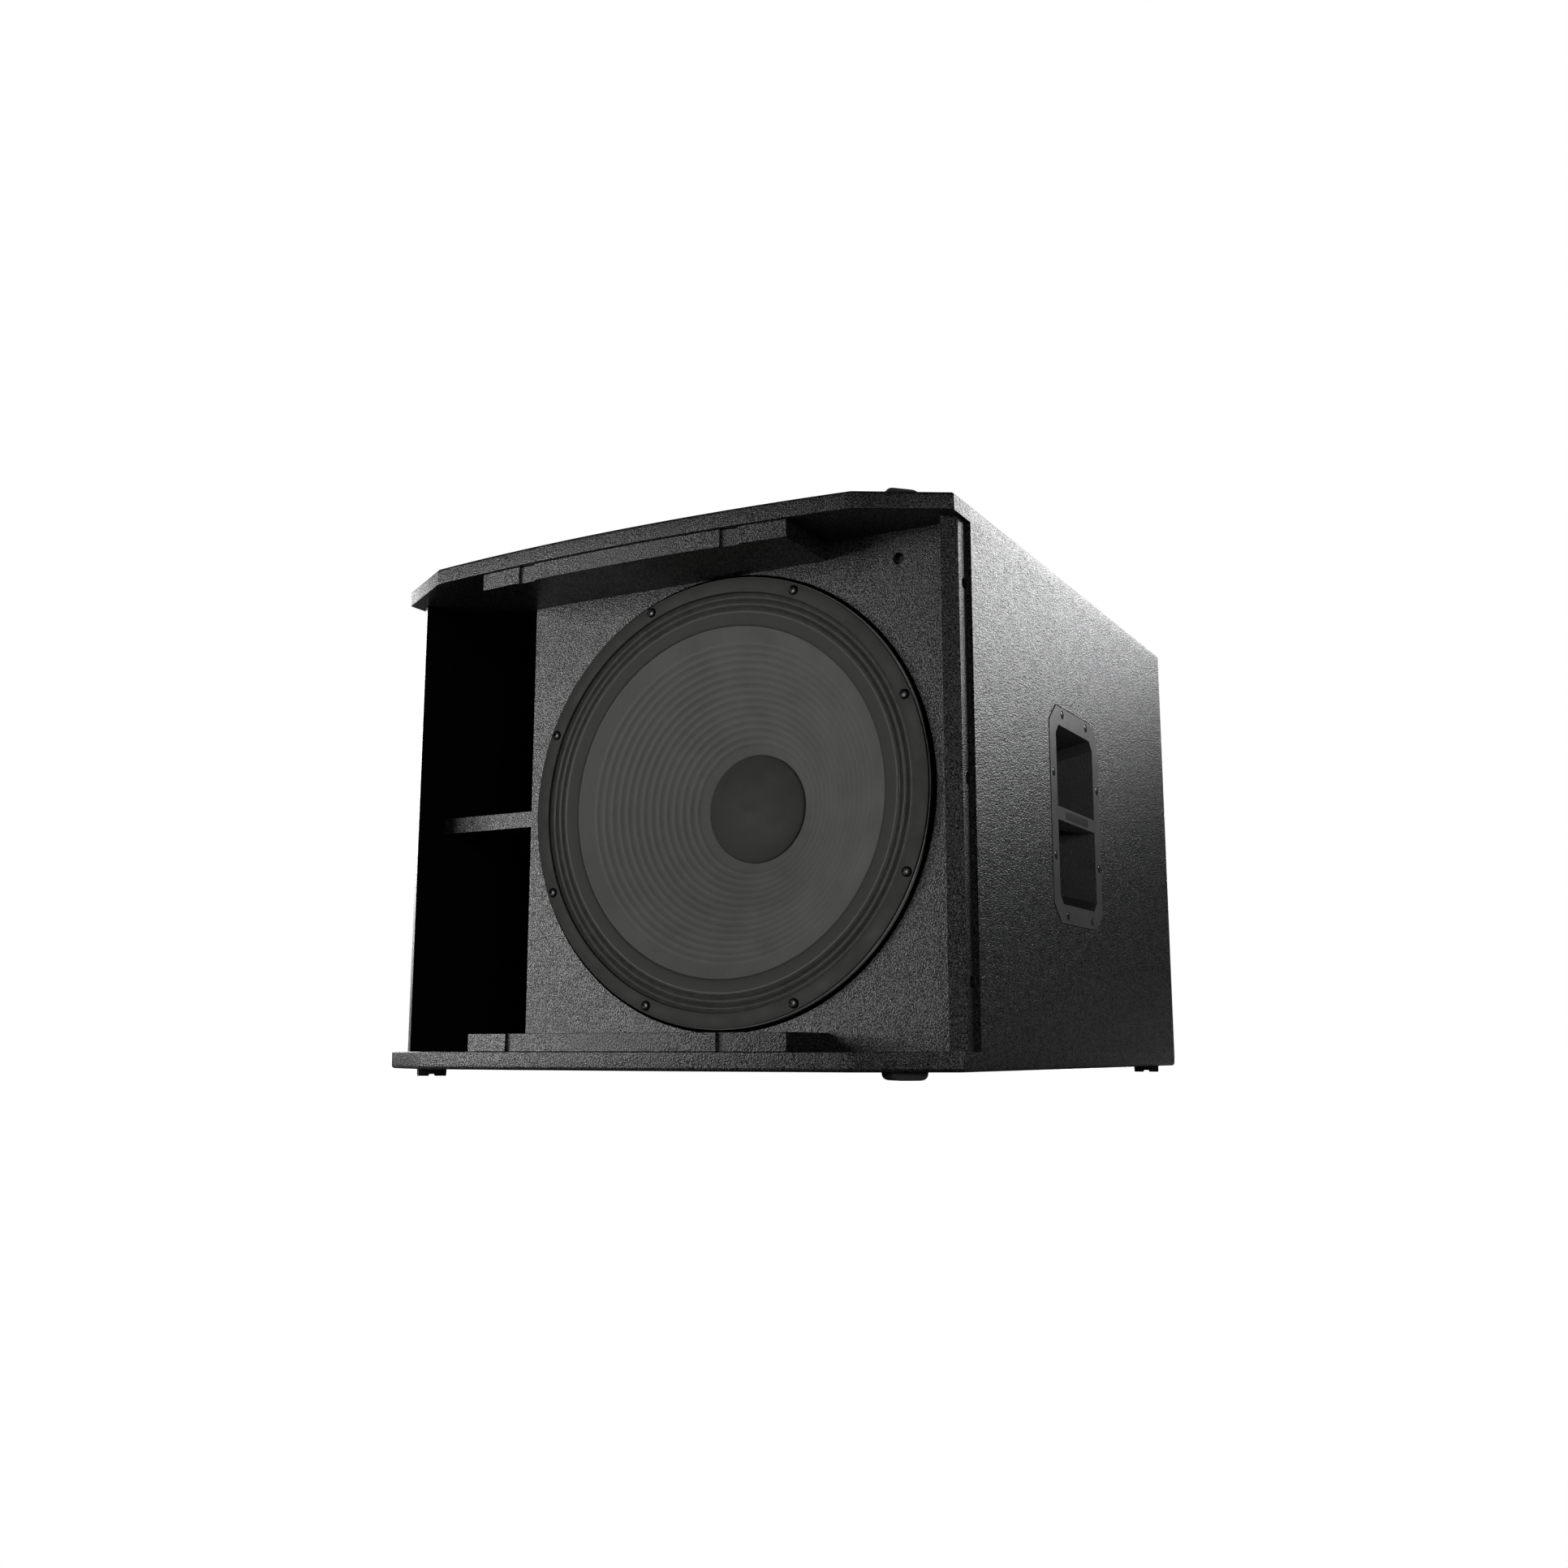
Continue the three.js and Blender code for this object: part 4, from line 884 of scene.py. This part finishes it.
def build_basket():
    """Cast frame: a flange with a rounded edge, a bowl with windows, and a seat for the motor."""
    inner, front, back = FLANGE["inner"], FLANGE["front"], FLANGE["back"]
    throat, seat, hole = BASKET["throat"], BASKET["seat"], BASKET["motor_hole"]
    seat_front = MOTOR_DEPTH - BASKET["wall"]
    bowl_inside = BASKET["inside"]
    profile = [(inner, front), *rounded_corner(FLANGE), (FLANGE["outer"], back), (throat, back),
               (throat, BASKET["throat_depth"]), (seat, BASKET["seat_depth"]), (seat, MOTOR_DEPTH),
               (hole, MOTOR_DEPTH), (hole, seat_front), (bowl_inside[0][0], seat_front), *bowl_inside,
               (inner, BASKET["lip_depth"])]
    basket = driver_piece("woofer_casting", profile, MATERIALS["cast"])
    carve(basket, [basket_window(index) for index in range(WINDOWS["count"])])
    smooth(basket)
    settle(basket, CABINET, "cast_frame", "woofer_basket")


def basket_window(index):
    vertices, faces = prism(WINDOWS["outline"], *WINDOWS["reach"])
    turn = Matrix.Rotation(2 * math.pi * index / WINDOWS["count"], 4, "Y")
    vertices = [tuple(turn @ Vector(vertex) + driver_place()) for vertex in vertices]
    return new_piece("cutter", vertices, faces, MATERIALS["cast"])


def build_gasket():
    inner, outer, front, back = (GASKET[key] for key in ("inner", "outer", "front", "back"))
    rounding, cut = GASKET["rounding"], GASKET["cut"]
    profile = [(inner, front + rounding), (inner + cut, front + cut), (inner + rounding, front),
               *rounded_corner(GASKET), (outer, back), (inner, back)]
    gasket = driver_piece("woofer_gasket_ring", profile, MATERIALS["gasket"])
    smooth(gasket, 50)
    settle(gasket, CABINET, "gasket_paper", "woofer_gasket")


def build_flange_shadow():
    """Near-black ring round the flange: painted shadow that the flange casts on the baffle."""
    inner, outer, front, back = (SHADOW_RING[key] for key in ("inner", "outer", "front", "back"))
    profile = [(inner, front), *rounded_corner(SHADOW_RING), (outer, back), (inner, back)]
    flange_shadow = driver_piece("woofer_seal_bead", profile, MATERIALS["sealant"])
    smooth(flange_shadow, 50)
    settle(flange_shadow, CABINET, "rubber")


def cone_depth(radius):
    return CONE["depth"] * (CONE["edge"] - radius) / (CONE["edge"] - CAP["radius"])


def rib_rise(radius):
    """How far the pressed ribs stand out of the cone at a radius."""
    ribs = CONE_RIBS
    turn = (radius - ribs["first"]) / ribs["pitch"]
    if not 0 <= turn <= ribs["count"]:
        return 0.0
    return ribs["height"] * (0.5 - 0.5 * math.cos(2 * math.pi * turn)) ** 1.5


def build_cone():
    start = CAP["radius"] + 0.5
    steps = int((CONE["edge"] - start) / (CONE_RIBS["pitch"] / CONE_RIBS["steps"]))
    radii = [start + (CONE["edge"] - start) * i / steps for i in range(steps + 1)]
    slope = [(radius, cone_depth(radius) - rib_rise(radius)) for radius in radii]
    front = [CONE["neck"], *slope, CONE["lip"]]
    back = [(radius, depth + CONE["thickness"]) for radius, depth in reversed(front)]
    cone = driver_piece("woofer_cone_paper", [*front, *back], MATERIALS["cone"])
    smooth(cone, 50)
    settle(cone, CONE_BODY, "cone_paper", "woofer_cone")


def build_dust_cap():
    radius, rise, steps, thickness = (CAP[key] for key in ("radius", "rise", "steps", "thickness"))
    sphere = (radius ** 2 + rise ** 2) / (2 * rise)
    apex = CONE["depth"] - CAP["behind"] - rise
    front = [(radius * i / steps, apex + sphere - math.sqrt(sphere ** 2 - (radius * i / steps) ** 2))
             for i in range(steps + 1)]
    rim_depth = front[-1][1]
    bead_width, bead_depth = CAP["bead"]
    back = [(r, depth + thickness) for r, depth in reversed(front[:steps])]
    front += [(radius + bead_width, rim_depth + bead_depth), (radius, rim_depth + thickness)]
    cap = driver_piece("woofer_cap_dome", [*front, *back], MATERIALS["cap"], on_axis=True)
    smooth(cap, 60)
    settle(cap, CONE_BODY, "cone_paper", "woofer_dust_cap")


def build_surround_lip():
    """The flat edge of the surround, glued round the cone."""
    edge, outer, depth = CONE["edge"], ROLLS["inner"], ROLLS["depth"]
    front, back = ([(edge + out, level) for out, level in side] for side in (LIP_FRONT, LIP_BACK))
    profile = [*front, (outer, depth), (outer, depth + ROLLS["thickness"]), *back]
    lip = driver_piece("woofer_surround_lip", profile, MATERIALS["lip"])
    smooth(lip, 50)
    settle(lip, CONE_BODY, "surround_cloth", "woofer_surround")


def rolled_profile(shape):
    """Closed section of a sheet between two radii: narrow ridges with dished valleys between."""
    pitch = shape["ridges"][1] - shape["ridges"][0]
    front = []
    for i in range(ROLL_STEPS + 1):
        share = i / ROLL_STEPS
        apart = min(abs(share - ridge) for ridge in shape["ridges"]) / (pitch / 2)
        wave = max(0.0, 1 - apart) ** 1.6
        radius = shape["inner"] + (shape["outer"] - shape["inner"]) * share
        front.append((radius, shape["depth"] - shape["height"] * wave))
    return [*front, *[(radius, depth + shape["thickness"]) for radius, depth in reversed(front)]]


def build_flexing_ring(name, shape, material, node):
    """A corrugated ring, built in sectors."""
    place = driver_place()
    sweep = 2 * math.pi / FLEXING_SECTORS
    profile = rolled_profile(shape)
    for sector in range(FLEXING_SECTORS):
        vertices, faces = revolved(profile, ROUND_SEGMENTS // FLEXING_SECTORS, sector * sweep, sweep)
        piece = new_piece(f"{name}_{sector + 1:02d}", moved(vertices, place), faces, MATERIALS[material])
        smooth(piece, 60)
        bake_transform(piece)
        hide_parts(node)


def cross_recess():
    """Cutters for a screw's cross recess, about a head whose top is at y = 0, facing -Y."""
    arms = []
    for turn in (0, math.pi / 2):
        cos, sin = math.cos(turn), math.sin(turn)
        levels = []
        for depth, half, width in CROSS_LEVELS:
            outline = [(half, width), (-half, width), (-half, -width), (half, -width)]
            levels.append([(u * cos - v * sin, depth, u * sin + v * cos) for u, v in outline])
        arms.append(new_piece("cutter", *rings(levels), MATERIALS["black_steel"]))
    return arms


def screw_mesh(kind):
    """A pan-head screw along +Y with its head's top at y = 0."""
    radius, height = kind["head"]
    shank_radius, shank_length = kind["shank"]
    dome = [(0, 0)]
    for i in range(1, DOME_STEPS + 1):
        angle = math.pi / 2 * i / DOME_STEPS
        dome.append((radius * math.sin(angle), height * (1 - math.cos(angle) ** 0.8)))
    dome += [(radius, height), (shank_radius, height), (shank_radius, shank_length), (0, shank_length)]
    screw = new_piece("screw", *solid_of_revolution(dome, SCREW_SIDES), MATERIALS["black_steel"])
    carve(screw, cross_recess())
    smooth(screw, 35)
    mesh = screw.data
    bpy.data.objects.remove(screw)
    return mesh


def place_screw(name, mesh, spot, outwards, turn, *nodes):
    """An instance of a screw mesh with its head's top at spot, facing along outwards."""
    screw = bpy.data.objects.new(name, mesh)
    bpy.context.scene.collection.objects.link(screw)
    facing = Vector((0, -1, 0)).rotation_difference(Vector(outwards))
    screw.rotation_mode = "QUATERNION"
    screw.rotation_quaternion = facing @ Matrix.Rotation(turn, 3, "Y").to_quaternion()
    screw.location = Vector(spot) * MM
    settle(screw, CABINET, "black_steel", *nodes)


def turn_of(kind, index):
    first, step = kind["turn"]
    return first + index * step


def build_driver_screws():
    mesh = screw_mesh(DRIVER_SCREW)
    for index in range(SCREW_COUNT):
        node = f"woofer_screw_{index + 1}"
        low, high = corners(node)
        spot = ((low.x + high.x) / 2, low.y, (low.z + high.z) / 2)
        place_screw(f"{node}_pan_head", mesh, spot, (0, -1, 0), turn_of(DRIVER_SCREW, index), node)


def build_driver():
    build_basket()
    build_gasket()
    build_flange_shadow()
    build_cone()
    build_dust_cap()
    build_surround_lip()
    build_flexing_ring("woofer_surround_roll", ROLLS, "surround", "woofer_surround")
    build_flexing_ring("woofer_spider_roll", SPIDER, "spider", "woofer_spider")
    build_driver_screws()


# ------------------------ handles

def build_handles():
    mesh = screw_mesh(HANDLE_SCREW)
    for side, sign in (("right", 1), ("left", -1)):
        node = f"{side}_handle"
        low, high = corners(node)
        face = high.x if sign > 0 else low.x
        middle = (low + high) / 2
        shade_cup_walls(node, abs(face))
        for index, (along, up) in enumerate(HANDLE_SCREWS):
            name = f"{side}_handle_screw_{index + 1}"
            spot = (face - sign * HANDLE_SCREW_SUNK, middle.y + along, middle.z + up)
            place_screw(name, mesh, spot, (sign, 0, 0), turn_of(HANDLE_SCREW, index))
        build_badge(side, sign, face, middle)


def shade_cup_walls(node, face):
    """Gives the walls of the handle's cup and the back of its bar a coarser-grained, darker plastic; the
    darker colour is painted shade inside the cup.
    """
    piece = frame["nodes"][node]
    piece.data.materials.append(MATERIALS["cup"])
    for polygon in piece.data.polygons:
        spot = piece.matrix_world @ polygon.center / MM
        if abs(spot.x) < face - CUP_START:
            polygon.material_index = 1


def build_badge(side, sign, face, middle):
    """A blank plate set into the hand bar."""
    half_width, half_height = BADGE["width"] / 2, BADGE["height"] / 2
    outline = [(half_width, half_height), (-half_width, half_height),
               (-half_width, -half_height), (half_width, -half_height)]
    back, front = face - sign * BADGE["back"], face - sign * BADGE["front"]
    shape = prism(outline, back, front, lambda u, v, w: (w, middle.y + u, middle.z + v))
    plate = new_piece(f"{side}_handle_plate", *shape, MATERIALS["plate"])
    round_edges(plate, BADGE["rounding"], 2)
    settle(plate, CABINET, "black_steel")


# ------------------------ amplifier panel

def build_panel_screws():
    low, high = corners("amp_panel")
    mesh = screw_mesh(PANEL_SCREW)
    rise = (high.z - low.z - 2 * PANEL_SCREW_INSET) / (PANEL_SCREW_ROWS - 1)
    xs = (low.x + PANEL_SCREW_INSET, (low.x + high.x) / 2, high.x - PANEL_SCREW_INSET)
    zs = [low.z + PANEL_SCREW_INSET + rise * row for row in range(PANEL_SCREW_ROWS)]
    spots = [(x, z) for x in xs for z in zs if x != xs[1] or z in (zs[0], zs[-1])]
    for index, (x, z) in enumerate(spots):
        spot = (x, high.y + PANEL_SCREW_PROUD, z)
        place_screw(f"amp_panel_screw_{index + 1}", mesh, spot, (0, 1, 0), turn_of(PANEL_SCREW, index))


def build_scale(node):
    """Printed marks round a knob, as one thin mesh."""
    middle = centre(node)
    hub = Vector((middle.x, corners("amp_panel")[1].y, middle.z))
    start, end, ticks = (KNOB_SCALE[key] for key in ("start", "end", "ticks"))
    vertices, faces = [], []
    for tick in range(ticks):
        angle = math.radians(90 + KNOB_SCALE["sweep"] * (0.5 - tick / (ticks - 1)))
        along = Vector((math.cos(angle), 0, math.sin(angle)))
        across = Vector((-along.z, 0, along.x)) * KNOB_SCALE["half_width"]
        base = len(vertices)
        for lift in KNOB_SCALE["ink"]:
            for reach, side in ((start, -1), (end, -1), (end, 1), (start, 1)):
                vertices.append(tuple(hub + along * reach + across * side + Vector((0, lift, 0))))
        faces += [(base, base + 1, base + 2, base + 3), (base + 4, base + 5, base + 6, base + 7)]
        faces += [(base + i, base + (i + 1) % 4, base + 4 + (i + 1) % 4, base + 4 + i) for i in range(4)]
    scale = new_piece(f"{node}_scale", vertices, faces, MATERIALS["print"])
    settle(scale, CABINET, "black_plastic")


def build_amplifier():
    build_panel_screws()
    for node in ("level_knob", "crossover_knob"):
        build_scale(node)


# ------------------------ floor, light and world

def floor_material():
    """Pale floor that is lit up for the camera only, so that it stays white beside the backdrop."""
    finish = Finish("studio_floor", Base_Color=(0.15, 0.15, 0.15, 1), Emission_Color=(1, 1, 1, 1))
    finish.gloss(finish.ramp(finish.noise(4, 2), (0.3, 0.8), (0.7, 0.9)))
    path = finish.nodes.new("ShaderNodeLightPath")
    finish.links.new(path.outputs["Is Camera Ray"], finish.shader.inputs["Emission Strength"])
    return finish.material


def build_floor():
    half = FLOOR_HALF_WIDTH / MM
    spots = [(half, half, 0), (-half, half, 0), (-half, -half, 0), (half, -half, 0)]
    floor = new_piece("studio_floor", spots, [(0, 1, 2, 3)], floor_material())
    if floor.data.polygons[0].normal.z < 0:
        floor.data.flip_normals()


def softbox(name, place, target, size, power):
    light = bpy.data.lights.new(name, "AREA")
    light.shape = "RECTANGLE"
    light.size, light.size_y = size
    light.energy = power
    lamp = bpy.data.objects.new(name, light)
    bpy.context.scene.collection.objects.link(lamp)
    lamp.location = place
    lamp.rotation_euler = (Vector(target) - Vector(place)).to_track_quat("-Z", "Y").to_euler()
    lamp.visible_camera = False
    return lamp


def lit_only(lamp, pieces, state):
    """Makes the lamp light only these pieces (INCLUDE) or all but these (EXCLUDE)."""
    receivers = bpy.data.collections.new(f"{lamp.name}_receivers")
    for piece in pieces:
        receivers.objects.link(piece)
    lamp.light_linking.receiver_collection = receivers
    for entry in receivers.collection_objects:
        entry.light_linking.link_state = state


def build_lights():
    for name, (place, target, size, power, receivers) in LIGHTS.items():
        lamp = softbox(name, place, target, size, power)
        if receivers:
            state, names = receivers
            pieces = [piece for piece in bpy.context.scene.objects if piece.name.startswith(names)]
            lit_only(lamp, pieces, state)


def build_world():
    """White to the camera, a dim grey to everything else."""
    world = bpy.data.worlds.new("studio")
    bpy.context.scene.world = world
    world.use_nodes = True
    nodes, links = world.node_tree.nodes, world.node_tree.links
    backdrop = nodes["Background"]
    backdrop.inputs["Color"].default_value = (1, 1, 1, 1)
    backdrop.inputs["Strength"].default_value = 1.0
    ambient = nodes.new("ShaderNodeBackground")
    ambient.inputs["Color"].default_value = (1, 1, 1, 1)
    ambient.inputs["Strength"].default_value = AMBIENT
    path = nodes.new("ShaderNodeLightPath")
    mix = nodes.new("ShaderNodeMixShader")
    links.new(path.outputs["Is Camera Ray"], mix.inputs["Fac"])
    links.new(ambient.outputs["Background"], mix.inputs[1])
    links.new(backdrop.outputs["Background"], mix.inputs[2])
    links.new(mix.outputs["Shader"], nodes["World Output"].inputs["Surface"])
    bpy.context.scene.view_settings.view_transform = "Standard"


# ------------------------ the scene

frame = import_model()
make_camera()
MATERIALS = make_materials()
refine_nodes()
build_shell()
build_wadding()
build_driver()
build_handles()
build_amplifier()
build_floor()
build_lights()
build_world()
